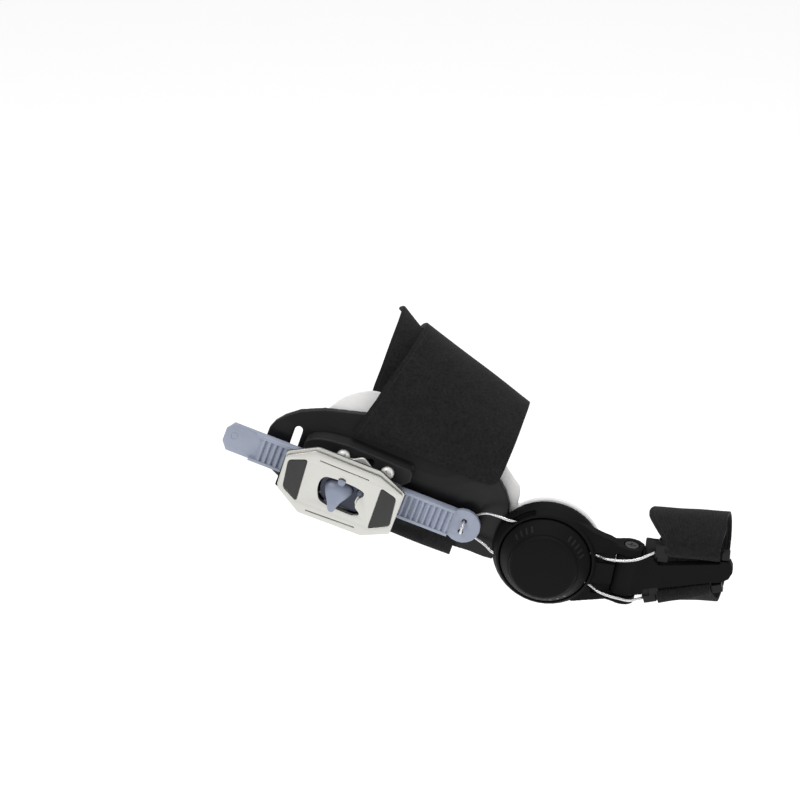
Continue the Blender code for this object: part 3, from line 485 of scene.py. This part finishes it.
def block(middle, size, tilt=0.0):
    """A box turned about Y, to be melted into a moulding."""
    bpy.ops.mesh.primitive_cube_add(size=1.0, location=[m * MM for m in middle])
    piece = bpy.context.object
    piece.scale = [s * MM for s in size]
    piece.rotation_euler[1] = math.radians(tilt)
    return piece


softened("rear_shell", "brace", satin_black, 0.34, 7)
softened("buckle_bracket", "brace", block_black, 0.32, 3)
softened("hub_arm", "front_arm", hub_black, 0.32, 4)
softened("toe_plate", "toe_rest", hub_black, 0.3, 3)
softened("toe_bar_top", "toe_rest", matt_black, 0.2, 3,
         [block((40.0, -8.4, 5.4), (3.6, 2.6, 8.0), 4.0),
          block((36.4, -8.0, 4.9), (5.4, 2.0, 8.0), 4.0)])
softened("toe_bar_bottom", "toe_rest", matt_black, 0.2, 3,
         [block((37.2, -8.4, -10.6), (3.4, 2.4, 5.6), -12.0),
          block((34.8, -8.1, -10.6), (4.0, 2.0, 3.8), -8.0)])
softened("toe_hinge_screw", "front_arm", dark_steel, 0.12, 2)

# %% [markdown]
# ## Crisp pieces
#
# Stamped metal keeps a crisp edge with a very small bevel that catches the light, and so do the
# toothed strap's teeth. Melting would blur them, so these copies get a Bevel modifier instead.

# %% Copying and bevelling
def crisp(node, body, look, width):
    piece = copy_of(node)
    bevel = piece.modifiers.new("bevel", "BEVEL")
    bevel.width = width * MM
    bevel.segments = 2
    bevel.limit_method = "ANGLE"
    bevel.angle_limit = math.radians(28.0)
    seat(piece, node + "_crisp", body, look, (node,))
    bpy.ops.object.shade_smooth_by_angle(angle=math.radians(35.0))
    return piece


crisp("buckle_base", "brace", satin_steel, 0.10)
crisp("ladder_strap", "brace", blue_grey, 0.10)

# %% [markdown]
# ## The buckle's lever
#
# The lever is two thin cream sheets, one on the other. Stamped sheets have small rounded corners
# and a rolled rim, so each is drawn as a filled flat curve with holes and given a bevel. All of
# it is drawn from the lever's middle, and one matrix carries it into the buckle's sloping place.

# %% The buckle's own frame
REAR_PITCH = math.radians(18.0)
BUCKLE_MIDDLE = Vector((-73.9, 0.0, 0.1)) * MM
BUCKLE_TURN = math.radians(1.2)
in_buckle = Matrix.Rotation(REAR_PITCH, 4, "Y") @ Matrix.Translation(BUCKLE_MIDDLE)
in_buckle = in_buckle @ Matrix.Rotation(BUCKLE_TURN, 4, "Y")
print("the lever's middle in mm:", [round(v / MM, 1) for v in in_buckle.translation])


# %% Outlines with round corners, and flat sheets made from them
def rounded(corners, radius, steps=5):
    """An outline with a soft bend at each corner, about as wide as the radius."""
    points = []
    for i, corner in enumerate(corners):
        here = Vector(corner)
        before = Vector(corners[i - 1]) - here
        after = Vector(corners[(i + 1) % len(corners)]) - here
        start = here + before.normalized() * min(radius, before.length * 0.48)
        end = here + after.normalized() * min(radius, after.length * 0.48)
        for k in range(steps + 1):
            t = k / steps
            points.append(tuple(start.lerp(here, t).lerp(here.lerp(end, t), t)))
    return points


def sheet_of(name, outlines, back, face, edge):
    """A flat sheet between two depths: the first outline is its rim, the others are holes."""
    curve = bpy.data.curves.new(name, "CURVE")
    curve.dimensions = "2D"
    curve.fill_mode = "BOTH"
    curve.extrude = ((back - face) / 2 - edge) * MM
    curve.bevel_depth = edge * MM
    curve.bevel_resolution = 2
    curve.offset = -edge * MM
    for number, outline in enumerate(outlines):
        line = curve.splines.new("POLY")
        line.points.add(len(outline) - 1)
        for place, (x, z) in zip(line.points, outline[::-1] if number else outline):
            place.co = (x * MM, z * MM, 0.0, 1.0)
        line.use_cyclic_u = True
    piece = bpy.data.objects.new(name, curve)
    bpy.context.scene.collection.objects.link(piece)
    lift = Matrix.Translation(Vector((0.0, (back + face) / 2, 0.0)) * MM)
    piece.matrix_world = in_buckle @ lift @ Matrix.Rotation(math.radians(90.0), 4, "X")
    return closed(piece)


def bottom_of(node, depth):
    """A copy of a CAD node cut off at a depth, with its inner part kept."""
    piece = copy_of(node)
    bpy.ops.object.mode_set(mode="EDIT")
    bpy.ops.mesh.select_all(action="SELECT")
    bpy.ops.mesh.bisect(
        plane_co=(0.0, depth * MM, 0.0), plane_no=(0.0, 1.0, 0.0), use_fill=True, clear_inner=True)
    bpy.ops.object.mode_set(mode="OBJECT")
    return piece


# %% Lever sheets and inlays
FACE_RIM = [
    (-21.0, 5.8), (-12.0, 11.3), (11.4, 11.0), (20.7, 7.5), (21.2, -8.0), (12.2, -12.6),
    (-10.6, -12.9), (-20.2, -6.6),
]
UNDER_RIM = [
    (-21.2, 7.0), (-11.6, 12.5), (11.2, 12.5), (21.2, 7.8), (21.2, -7.4), (12.0, -12.2),
    (-10.8, -12.4), (-20.6, -6.4),
]
WINDOW = [
    (-5.6, -5.4), (-7.2, -1.8), (-7.4, 1.6), (-6.2, 3.8), (-2.0, 4.2), (4.4, 4.1), (8.2, 3.3),
    (8.4, 1.6), (7.0, 0.4), (6.6, -3.2), (9.6, -5.2), (7.4, -6.6), (3.2, -6.5), (-2.4, -6.3),
]
INLAY_REAR = [(-19.9, 4.7), (-13.6, 7.4), (-12.4, -9.2), (-18.5, -5.9)]
INLAY_FRONT = [(13.0, 7.3), (19.1, 5.6), (20.3, -5.2), (13.5, -9.2)]
GROOVE_TOP = [(-9.6, 8.8), (8.2, 8.5), (8.2, 8.2), (-9.6, 8.5)]
GROOVE_LOW = [(-8.4, -10.9), (9.2, -10.4), (9.2, -10.8), (-8.4, -11.3)]


def shrunk(outline, gap):
    """The same outline drawn in towards its middle by a gap."""
    middle = sum((Vector(p) for p in outline), Vector((0.0, 0.0))) / len(outline)
    return [tuple(p + (middle - p).normalized() * gap) for p in map(Vector, outline)]


window = rounded(WINDOW, 1.4)
holes = [window, rounded(INLAY_REAR, 1.3), rounded(INLAY_FRONT, 1.3), GROOVE_TOP, GROOVE_LOW]
face = sheet_of("lever_face", [rounded(FACE_RIM, 0.7), *holes], -16.1, -17.0, 0.14)
under = sheet_of("lever_under", [rounded(UNDER_RIM, 0.7), window], -14.8, -15.85, 0.14)
waist = sheet_of("lever_waist", [rounded(shrunk(FACE_RIM, 0.6), 0.7), window], -15.8, -16.15, 0.05)
lever = joined([face, under, waist, bottom_of("lever_plate", -14.9)])
seat(lever, "lever_plate_sheets", "lever", cream_metal, ("lever_plate",))
bpy.ops.object.shade_smooth_by_angle(angle=math.radians(35.0))
for name, outline in (("lever_inlay_rear", INLAY_REAR), ("lever_inlay_front", INLAY_FRONT)):
    inlay = sheet_of(name + "_pad", [rounded(shrunk(outline, 0.3), 1.1)], -16.2, -16.9, 0.12)
    seat(inlay, name + "_pad", "lever", charcoal, (name,))
    bpy.ops.object.shade_smooth_by_angle(angle=math.radians(35.0))

# %% [markdown]
# ## The thumb piece
#
# In the lever's window stands the blue-grey ridge that releases the strap: a drop that leans out
# of the window and ends in a round tip below it. Many stretched balls are strung along its middle
# line and melted into one body with the rocker under it. Its colour falls off to navy with depth:
# this is painted shade, since the plastic lies in the lever's shade there.

# %% Balls along the ridge's middle line
# Columns: x, y, z from the lever's middle, half width, half depth, half height.
THUMB_LINE = [
    (-0.2, -15.3, 1.3, 4.9, 1.4, 2.3), (-0.4, -16.1, 0.5, 4.8, 1.5, 2.2),
    (-0.6, -17.0, -0.8, 4.1, 1.4, 2.0), (-0.7, -17.8, -2.4, 2.9, 1.3, 1.8),
    (-0.6, -18.5, -4.0, 2.0, 1.1, 1.5), (-0.5, -18.9, -5.4, 1.5, 0.8, 1.2),
    (-0.4, -19.0, -6.3, 1.15, 0.6, 0.9),
]
HORN_LINE = [(-0.2, -16.2, 2.6, 1.3, 0.8, 0.9), (-0.2, -17.5, 3.7, 1.3, 0.35, 0.9),
             (-0.2, -17.6, 4.3, 1.4, 0.35, 0.9)]
SHOULDER = (7.0, -15.5, 1.7, 1.3, 0.8, 1.4)


def ball(x, y, z, wide, deep, high):
    """A stretched ball in the buckle's own frame."""
    bpy.ops.mesh.primitive_uv_sphere_add(segments=32, ring_count=16, radius=1.0)
    piece = bpy.context.object
    reach = Matrix.Diagonal((wide * MM, deep * MM, high * MM, 1.0))
    piece.matrix_world = in_buckle @ Matrix.Translation(Vector((x, y, z)) * MM) @ reach
    return piece


balls = [ball(*row) for row in smooth_rows(THUMB_LINE, 5) + smooth_rows(HORN_LINE, 4) + [SHOULDER]]
# The rocker's floor stands for the pawl's body under the window; it lies so deep that its navy is all
# painted shade.
rocker_floor = sheet_of("rocker_floor", [rounded(shrunk(WINDOW, 0.5), 1.2)], -14.3, -15.0, 0.1)
thumb = melted(joined([rocker_floor, bottom_of("release_pawl", -14.6), *balls]), 0.16, 6)
seat(thumb, "release_pawl_moulding", "pawl", thumb_plastic, ("release_pawl",))
bpy.ops.object.shade_smooth()

# %% [markdown]
# ## The buckle's ear and the strap's end mark
#
# The steel sheet under the lever rises to a low peak between the two screws. The flat end of the
# toothed strap carries one small ring left by the mould.

# %% Ear and mould mark
EAR = [(-3.0, 9.0), (-2.0, 10.6), (0.6, 11.1), (3.2, 12.8), (4.2, 12.9), (6.2, 11.6), (8.2, 10.2),
       (11.2, 9.2), (11.2, 7.2), (-3.0, 7.2)]
ear = sheet_of("buckle_ear", [rounded(EAR, 0.5)], -11.4, -12.3, 0.12)
seat(ear, "buckle_base_ear", "brace", dull_steel)
bpy.ops.object.shade_smooth_by_angle(angle=math.radians(35.0))


def cross_screw(name, x, z, turn):
    """A low domed head with a crossed slot, facing outwards."""
    head = ball(x, -9.1, z, 2.4, 1.6, 2.4)
    apply_all(head)
    for angle in (turn, turn + 90.0):
        bpy.ops.mesh.primitive_cube_add(size=1.0)
        slot = bpy.context.object
        reach = Matrix.Diagonal((3.0 * MM, 1.4 * MM, 0.5 * MM, 1.0))
        spin = Matrix.Rotation(math.radians(angle), 4, "Y")
        slot.matrix_world = in_buckle @ Matrix.Translation(Vector((x, -10.7, z)) * MM) @ spin @ reach
        apply_all(slot)
        cutter = head.modifiers.new("slot", "BOOLEAN")
        cutter.operation = "DIFFERENCE"
        cutter.object = slot
        only(head)
        bpy.ops.object.modifier_apply(modifier="slot")
        bpy.data.objects.remove(slot)
    seat(head, name + "_head", "brace", dull_steel, (name,))
    bpy.ops.object.shade_smooth_by_angle(angle=math.radians(35.0))


cross_screw("bracket_screw_rear", -2.9, 9.5, 20.0)
cross_screw("bracket_screw_front", 13.1, 9.5, 62.0)

MARK = (-40.1, 1.5)
ring = [[(MARK[0] + r * math.cos(a), MARK[1] + r * math.sin(a))
         for a in [math.radians(15.0 * i) for i in range(24)]] for r in (1.35, 1.1)]
mark = sheet_of("strap_mark", ring, -8.9, -9.12, 0.04)
seat(mark, "ladder_strap_mark", "brace", blue_grey)

# %% [markdown]
# ## The hub's cap
#
# The round cap is turned about the hub's axis: one circle is extruded step by step, growing
# narrower up its sloping flank, with a fine step round the flat disc. Short plain ticks in three
# groups stand on the flank. One tick is made, and its copies are turned about the axis.

# %% Turning a profile from one circle
CAP_PROFILE = [
    (15.2, -9.9), (15.45, -10.3), (15.5, -11.8), (15.3, -12.4), (14.8, -13.1), (13.6, -14.9),
    (12.6, -16.3), (12.2, -16.8), (12.0, -16.8), (11.85, -16.95), (11.8, -17.4), (11.4, -18.0),
    (10.9, -18.3), (10.3, -18.4),
]


def turned(name, profile, sides):
    """Extrudes a circle along -Y through (radius, y) steps and closes both ends."""
    radius, y = profile[0]
    bpy.ops.mesh.primitive_circle_add(
        vertices=sides, radius=radius * MM, location=(0.0, y * MM, 0.0),
        rotation=(math.radians(90.0), 0.0, 0.0), fill_type="NGON")
    piece = bpy.context.object
    bpy.ops.object.transform_apply(location=True, rotation=True, scale=True)
    bpy.ops.object.mode_set(mode="EDIT")
    bpy.ops.mesh.select_all(action="SELECT")
    for (old_radius, old_y), (radius, y) in zip(profile, profile[1:]):
        bpy.ops.mesh.extrude_region_move(
            TRANSFORM_OT_translate={"value": (0.0, (y - old_y) * MM, 0.0)})
        grow = radius / old_radius
        bpy.ops.transform.resize(value=(grow, 1.0, grow), center_override=(0.0, y * MM, 0.0))
    bpy.ops.mesh.select_all(action="SELECT")
    bpy.ops.mesh.normals_make_consistent(inside=False)
    bpy.ops.object.mode_set(mode="OBJECT")
    piece.name = name
    return piece


cap = turned("hub_cap_turned", CAP_PROFILE, 128)
seat(cap, "hub_cap_turned", "front_arm", hub_black, ("hub_cap",))
bpy.ops.object.shade_smooth_by_angle(angle=math.radians(32.0))

# %% Ticks on the flank
TICK_GROUPS = [(108.0, 134.0, 4), (18.0, 50.0, 5), (-80.0, -58.0, 3)]
TICK_SIZE = (0.7, 2.6, 0.3)
FLANK_RADIUS = 13.5
FLANK_Y = -14.95
FLANK_SLOPE = math.radians(55.0)


def tick(angle):
    """One raised tick that lies along the flank's slope at an angle round the axis."""
    bpy.ops.mesh.primitive_cube_add(size=1.0)
    piece = bpy.context.object
    piece.scale = [s * MM for s in TICK_SIZE]
    bpy.ops.object.transform_apply(location=False, rotation=False, scale=True)
    bevel = piece.modifiers.new("bevel", "BEVEL")
    bevel.width = 0.1 * MM
    bevel.segments = 2
    lay = Matrix.Rotation(-math.radians(angle - 90.0), 4, "Y")
    lay = lay @ Matrix.Translation(Vector((0.0, FLANK_Y, FLANK_RADIUS)) * MM)
    piece.matrix_world = lay @ Matrix.Rotation(math.radians(90.0) - FLANK_SLOPE, 4, "X")
    apply_all(piece)
    return piece


ticks = []
for low, high, count in TICK_GROUPS:
    for i in range(count):
        ticks.append(tick(low + (high - low) * i / (count - 1)))
only(ticks[0])
for piece in ticks:
    piece.select_set(True)
bpy.ops.object.join()
seat(bpy.context.object, "hub_cap_ticks", "front_arm", satin_black)

# %% [markdown]
# ## The foot strap
#
# A wide band of soft foam with a jersey face makes one large loop from the shell's lower edge back
# to its face. It is one sheet, so a flat grid is laid along the strap's path and then given its
# thickness. A simulation would drape it anew and lose the drawn path, so a few sums of sines make
# the gentle dents that keep it from looking like sheet metal.

# %% The strap's path, as in the CAD model
WRAP_RADIUS = 40.0
WRAP_CENTRE_Z = 3.0
WRAP_STARTS_X = -24.0
WRAP_FULL_X = -46.0
SEAT = 4.9
STRAP_THICK = 2.4
# Columns: x, y, z of the rear edge, x, y, z of the front edge, how closely it hugs the shell,
# how far inside it the tongue lies, how far the tongue reaches past the rear edge.
STRAP_PATH = [
    (-76.0, -3.0, -10.5, -31.0, -4.9, -1.5, 1.0, 0.0, 0.0),
    (-76.0, -2.4, -11.9, -31.0, -4.8, -7.0, 1.0, 0.0, 0.0),
    (-76.0, -0.6, -13.2, -31.0, -3.5, -12.3, 0.0, 0.0, 0.0),
    (-76.0, 5.0, -13.6, -31.0, 2.0, -13.3, 0.0, 0.0, 0.0),
    (-76.0, 18.0, -13.6, -30.0, 16.0, -13.4, 0.0, 0.0, 0.0),
    (-76.0, 36.0, -13.6, -29.0, 36.0, -13.4, 0.0, 0.0, 0.0),
    (-76.0, 51.0, -13.0, -28.0, 51.0, -13.2, 0.0, 0.0, 0.0),
    (-75.0, 61.0, -8.5, -27.0, 60.0, -10.5, 0.0, 0.0, 0.0),
    (-74.0, 65.5, 1.5, -26.0, 63.5, -3.5, 0.0, 0.0, 0.0),
    (-72.0, 65.0, 14.0, -25.0, 62.0, 4.3, 0.0, 0.0, 0.0),
    (-70.0, 60.0, 25.5, -24.5, 55.5, 13.7, 0.0, 0.0, 0.25),
    (-68.0, 50.5, 35.2, -24.0, 44.0, 23.2, 0.0, 0.4, 0.25),
    (-66.5, 39.5, 42.0, -23.6, 33.0, 29.8, 0.0, 0.4, 0.24),
    (-66.0, 29.0, 46.6, -23.4, 23.0, 34.8, 0.0, 0.4, 0.22),
    (-67.0, 19.0, 45.8, -23.3, 13.0, 35.0, 0.0, 0.8, 0.18),
    (-69.0, 10.5, 40.0, -23.3, 4.5, 32.4, 0.1, 3.4, 0.13),
    (-71.5, 4.6, 32.4, -23.4, -1.8, 27.8, 0.5, 5.8, 0.08),
    (-73.4, 0.6, 24.6, -23.8, -4.6, 22.4, 1.0, 5.4, 0.03),
    (-74.4, -2.2, 17.4, -24.4, -5.0, 16.4, 1.0, 5.3, 0.03),
]


def wrap(x, z):
    """How far the shell's inner face curves away from the hub's plane, in the rear frame."""
    t = min(max((WRAP_STARTS_X - x) / (WRAP_STARTS_X - WRAP_FULL_X), 0.0), 1.0)
    return t * t * (3.0 - 2.0 * t) * (z - WRAP_CENTRE_Z) ** 2 / (2.0 * WRAP_RADIUS)


strap_rows = smooth_rows(STRAP_PATH, 12)
print("strap rows:", len(strap_rows))


# %% A point on the strap's inner face, and laying a grid on such points
def row_between(rows, s):
    place = min(max(s, 0.0), 1.0) * (len(rows) - 1)
    low = min(int(place), len(rows) - 2)
    part = place - low
    return [a + (b - a) * part for a, b in zip(rows[low], rows[low + 1])]


def strap_point(s, t):
    """s runs along the strap to its free end, t across it from its rear edge."""
    row = row_between(strap_rows, s)
    point = Vector(row[0:3]).lerp(Vector(row[3:6]), t)
    slip = max(s - 0.92, 0.0) / 0.08 * (1.0 - t)
    point.x -= 1.9 * slip
    point.z -= 1.5 * slip
    hug = min(max(row[6], 0.0), 1.0)
    point.y += hug * (wrap(point.x, point.z) - SEAT - point.y)
    return point


def off_face(point_at, s, t, height):
    """A point that stands off a surface along its outward normal."""
    step = 0.004
    along = point_at(min(s + step, 1.0), t) - point_at(max(s - step, 0.0), t)
    across = point_at(s, min(t + step * 3, 1.0)) - point_at(s, max(t - step * 3, 0.0))
    return point_at(s, t) + along.cross(across).normalized() * height


def laid_grid(name, point_at, along_faces, across_faces, pitch=0.0):
    """A grid primitive whose points are put on point_at(s, t), turned into world axes."""
    bpy.ops.mesh.primitive_grid_add(
        x_subdivisions=across_faces, y_subdivisions=along_faces, size=2.0, calc_uvs=True)
    piece = bpy.context.object
    piece.name = name
    turn = Matrix.Rotation(pitch, 4, "Y")
    for vertex in piece.data.vertices:
        s = (vertex.co.y + 1.0) / 2.0
        t = (vertex.co.x + 1.0) / 2.0
        vertex.co = (turn @ point_at(s, t)) * MM
    return piece


def thickened(piece, thick, rim):
    """Gives a laid sheet its thickness on both sides and rounds its rim."""
    wall = piece.modifiers.new("wall", "SOLIDIFY")
    wall.thickness = thick * MM
    wall.offset = 0.0
    wall.use_even_offset = False
    rounding = piece.modifiers.new("rim", "BEVEL")
    rounding.width = rim * MM
    rounding.segments = 3
    rounding.limit_method = "ANGLE"
    rounding.angle_limit = math.radians(50.0)
    return piece


# %% Laying the foot strap
def strap_surface(s, t):
    end = min(max((s - 0.965) / 0.035, 0.0), 1.0)
    corner = 1.0 - 0.16 * (1.0 - math.sqrt(max(1.0 - end * end, 0.0)))
    t = t * corner
    dent = 0.16 * math.sin(23.0 * s + 2.6 * t) * math.sin(5.1 * t + 9.0 * s)
    dent += 0.10 * math.sin(61.0 * s - 7.0 * t)
    return off_face(strap_point, s, t, STRAP_THICK / 2 + dent)


strap = thickened(laid_grid("foot_strap", strap_surface, 190, 34, REAR_PITCH), 2.2, 0.7)
seat(strap, "foot_strap_cloth", "brace", neoprene, ("foot_strap",))
bpy.ops.object.shade_smooth()


def flat_size(point_at, steps=200):
    """Mean width and middle length of a laid sheet, in metres."""
    rows = [[point_at(i / steps, t) for t in (0.0, 0.5, 1.0)] for i in range(steps + 1)]
    long = sum((two[1] - one[1]).length for one, two in zip(rows, rows[1:]))
    wide = sum((row[2] - row[0]).length for row in rows) / len(rows)
    return (round(wide * MM, 4), round(long * MM, 4))


flat_size(strap_point)
print("foot strap cut flat:", flat_size(strap_point))

# %% [markdown]
# ## The strap's tongue
#
# A thinner inner layer shows under the strap, a little further back, and its free corner stands
# up. It follows the strap's own path, only deeper, so both are laid by the same surface.

# %% Laying the tongue
TONGUE_FIRST_ROW = 12.1
TONGUE_FLARE = 2.6
TONGUE_LAST_ROW = 17
TONGUE_FRONT = 0.5
TONGUE_THICK = 1.5
LAST_ROW = len(STRAP_PATH) - 1


def tongue_surface(s, t):
    place = (TONGUE_FIRST_ROW + (TONGUE_LAST_ROW - TONGUE_FIRST_ROW) * s) / LAST_ROW
    row = row_between(strap_rows, place)
    across = (TONGUE_FRONT + row[8]) * t - row[8]
    step = 0.006
    along = strap_point(place + step, across) - strap_point(place - step, across)
    sideways = strap_point(place, across + 0.05) - strap_point(place, across - 0.05)
    inwards = -along.cross(sideways).normalized()
    crest = max(1.0 - abs(place * LAST_ROW - 12.8) / 2.2, 0.0)
    flare = TONGUE_FLARE * crest * max(-across, 0.0) / 0.22
    return strap_point(place, across) + inwards * (max(row[7], 0.35) + TONGUE_THICK / 2 - flare)


tongue = thickened(laid_grid("strap_tongue", tongue_surface, 60, 24, REAR_PITCH), 1.4, 0.5)
seat(tongue, "strap_tongue_cloth", "brace", tongue_cloth, ("strap_tongue",))
bpy.ops.object.shade_smooth()
flat_size(tongue_surface)
print("tongue cut flat:", flat_size(tongue_surface))

# %% [markdown]
# ## The toe strap
#
# A narrow ribbed elastic band is wrapped round the upper bar, makes a wide turn behind the toe
# plate and is wrapped round the lower bar. The hems are tight little loops, so they need more rows
# of faces than the wide turn.

# %% The toe strap's path, as in the CAD model
BAR_Y = -8.6
TOE_BAR_TOP = [(39.5, 5.9), (61.3, 5.2)]
TOE_BAR_LOW = [(35.8, -12.9), (58.6, -7.2)]
# Loop columns: y, z, x of the rear edge, x of the front edge.
TOP_HEM = [(1.2, 2.2), (1.25, 0.6), (0.9, -0.9), (0.0, -1.25), (-0.9, -0.9), (-1.25, 0.6)]
TOE_LOOP = [
    (-8.7, 9.6, 39.4, 59.8), (-4.8, 12.2, 36.4, 60.8), (0.6, 13.5, 34.0, 60.6),
    (7.0, 12.4, 34.4, 60.6), (13.4, 9.4, 35.6, 60.8), (18.0, 4.6, 36.6, 61.0),
    (18.8, -1.6, 37.0, 61.0), (16.6, -8.0, 37.0, 60.6), (11.4, -12.4, 36.6, 60.0),
    (5.0, -14.2, 36.4, 59.4), (-2.5, -14.6, 37.0, 58.4),
]
LOW_HEM = [(0.4, -1.3), (-0.8, -1.0), (-1.25, 0.0), (-0.9, 0.9), (0.2, 1.25), (1.2, 0.6), (1.3, -0.2)]
TOP_HEM_X = (40.5, 59.3)
LOW_HEM_X = (38.6, 56.3)
TOE_STRAP_THICK = 1.2


def bar_height(bar, x):
    part = (x - bar[0][0]) / (bar[1][0] - bar[0][0])
    return bar[0][1] + part * (bar[1][1] - bar[0][1])


def hem_row(bar, hem, y, z):
    left, right = hem
    return (left, BAR_Y + y, bar_height(bar, left) + z, right, BAR_Y + y, bar_height(bar, right) + z)


toe_table = [hem_row(TOE_BAR_TOP, TOP_HEM_X, y, z) for y, z in TOP_HEM]
toe_table += [(left, y, z, right, y, z) for y, z, left, right in TOE_LOOP]
toe_table += [hem_row(TOE_BAR_LOW, LOW_HEM_X, y, z) for y, z in LOW_HEM]
toe_rows = smooth_rows(toe_table, 9)
print("toe strap rows:", len(toe_rows))


# %% Laying the toe strap
def toe_point(s, t):
    row = row_between(toe_rows, 1.0 - s)
    return Vector(row[0:3]).lerp(Vector(row[3:6]), t)


def toe_surface(s, t):
    crease = 0.10 * math.sin(9.0 * t + 14.0 * s) * math.sin(math.pi * t)
    return off_face(toe_point, s, t, TOE_STRAP_THICK / 2 + crease)


toe_strap = thickened(laid_grid("toe_strap", toe_surface, 230, 26), 1.1, 0.35)
seat(toe_strap, "toe_strap_cloth", "toe_rest", elastic, ("toe_strap",))
bpy.ops.object.shade_smooth()
flat_size(toe_point)
print("toe strap cut flat:", flat_size(toe_point))

# %% [markdown]
# ## The liner
#
# The white foam pad lines the shell and shows as a soft rim above it. Its outline is drawn once,
# laid in the rear half's sloping plane, filled with an even net of faces, bent like the shell and
# given its thickness with a full, rounded edge. It is too thin to be blown up by a cloth
# simulation, whose cells are wider than the foam.

# %% The liner's outline and its net of faces
LINER_THICK = 2.0
LINER_DISC_RADIUS = 18.4
LINER_OUTLINE = [
    (-89.5, 14.0), (-86.7, 19.6), (-82.9, 24.4), (-78.0, 27.4), (-72.9, 28.9),
    (-60.0, 29.3), (-45.0, 28.6), (-34.0, 27.4), (-26.6, 25.6), (-22.4, 22.2),
    (-19.0, 19.3), (-16.0, 16.4), (-15.0, 8.0), (-15.0, -8.0), (-20.0, -9.9),
    (-31.3, -10.4), (-55.0, -10.8), (-80.0, -11.0), (-87.5, -9.0), (-90.0, -2.0),
    (-90.5, 8.0),
]


def netted(name, outline, step):
    """Fills an outline, given as (x, z), with faces about one step wide."""
    bpy.ops.mesh.primitive_circle_add(vertices=len(outline), radius=1.0, fill_type="NGON")
    piece = bpy.context.object
    piece.name = name
    for vertex, (x, z) in zip(piece.data.vertices, outline):
        vertex.co = (x, 0.0, z)
    bpy.ops.object.mode_set(mode="EDIT")
    for axis in (0, 2):
        low = min(p[axis // 2] for p in outline)
        high = max(p[axis // 2] for p in outline)
        place = low + step
        while place < high - step * 0.3:
            at = [0.0, 0.0, 0.0]
            at[axis] = place
            normal = [0.0, 0.0, 0.0]
            normal[axis] = 1.0
            bpy.ops.mesh.select_all(action="SELECT")
            bpy.ops.mesh.bisect(plane_co=at, plane_no=normal)
            place += step
    bpy.ops.object.mode_set(mode="OBJECT")
    return piece


def round_outline(outline, steps):
    """Closes an outline with smooth steps between its points."""
    looped = outline[-1:] + outline + outline[:2]
    return [tuple(p) for p in smooth_rows(looped, steps)[steps:-steps - 1]]


liner = netted("liner", round_outline(LINER_OUTLINE, 3), 2.0)
print("liner net:", len(liner.data.polygons))


# %% Bending, joining the hub's disc and rounding the liner
def bent_panel(piece, stand_off):
    """Bends a flat net as the shell is bent, stand_off from its inner side, in world axes."""
    turn = Matrix.Rotation(REAR_PITCH, 4, "Y")
    for vertex in piece.data.vertices:
        x, _, z = vertex.co
        vertex.co = (turn @ Vector((x, wrap(x, z) - stand_off, z))) * MM
    return piece


bent_panel(liner, LINER_THICK / 2)
thickened(liner, LINER_THICK - 0.1, 0.55)
apply_all(liner)
bpy.ops.mesh.primitive_cylinder_add(
    vertices=96, radius=LINER_DISC_RADIUS * MM, depth=(LINER_THICK - 0.1) * MM,
    location=(0.0, -LINER_THICK / 2 * MM, 0.0), rotation=(math.radians(90.0), 0.0, 0.0))
pad = bpy.context.object
edge = pad.modifiers.new("edge", "BEVEL")
edge.width = 0.55 * MM
edge.segments = 3
apply_all(pad)
only(liner)
pad.select_set(True)
bpy.ops.object.join()
liner.data.remesh_voxel_size = 0.4 * MM
bpy.ops.object.voxel_remesh()
relax = liner.modifiers.new("relax", "SMOOTH")
relax.iterations = 6
seat(liner, "liner_foam", "brace", padding, ("liner",))
bpy.ops.object.shade_smooth()

# %% [markdown]
# ## Floor and light
#
# A plain pale floor runs far beyond the picture, well under the brace, and the light is soft from
# all round: a bright sky, one large lamp in front, one above and one from the front end. The black
# pieces only show their form by what they reflect, so the lamps are big.

# %% Floor
FLOOR_DROP = 0.16
bpy.ops.mesh.primitive_plane_add(size=6.0, location=(0.0, 1.2, CAD_BOX[0].z - FLOOR_DROP))
floor = bpy.context.object
floor.name = "floor"
paper = Finish("pale_paper", Base_Color=(0.86, 0.86, 0.86, 1.0), Roughness=0.9,
               Emission_Color=(1.0, 1.0, 1.0, 1.0), Emission_Strength=0.42)
floor.data.materials.append(paper.material)

print("floor lies", round((CAD_BOX[0].z - FLOOR_DROP) * 1000, 1), "mm up")

# %% Lamps
def lamp(name, place, aim, size, power):
    bpy.ops.object.light_add(type="AREA", location=place)
    light = bpy.context.object
    light.name = name
    light.data.shape = "RECTANGLE"
    light.data.size = size[0]
    light.data.size_y = size[1]
    light.data.energy = power
    light.rotation_euler = (Vector(place) - Vector(aim)).to_track_quat("Z", "Y").to_euler()
    return light


lamp("key", (-0.45, -0.7, 0.95), (-0.02, 0.0, 0.0), (0.6, 0.4), 4.0)
lamp("top", (0.05, 0.25, 0.9), (-0.02, 0.0, 0.0), (0.9, 0.5), 3.0)
lamp("toe_side", (0.8, -0.5, 0.35), (0.0, 0.0, 0.0), (0.4, 0.6), 1.0)

world = bpy.data.worlds.new("studio")
bpy.context.scene.world = world
world.use_nodes = True
world.node_tree.nodes["Background"].inputs[0].default_value = (1.0, 1.0, 1.0, 1.0)
world.node_tree.nodes["Background"].inputs[1].default_value = 0.5
bpy.context.scene.view_settings.view_transform = "Standard"
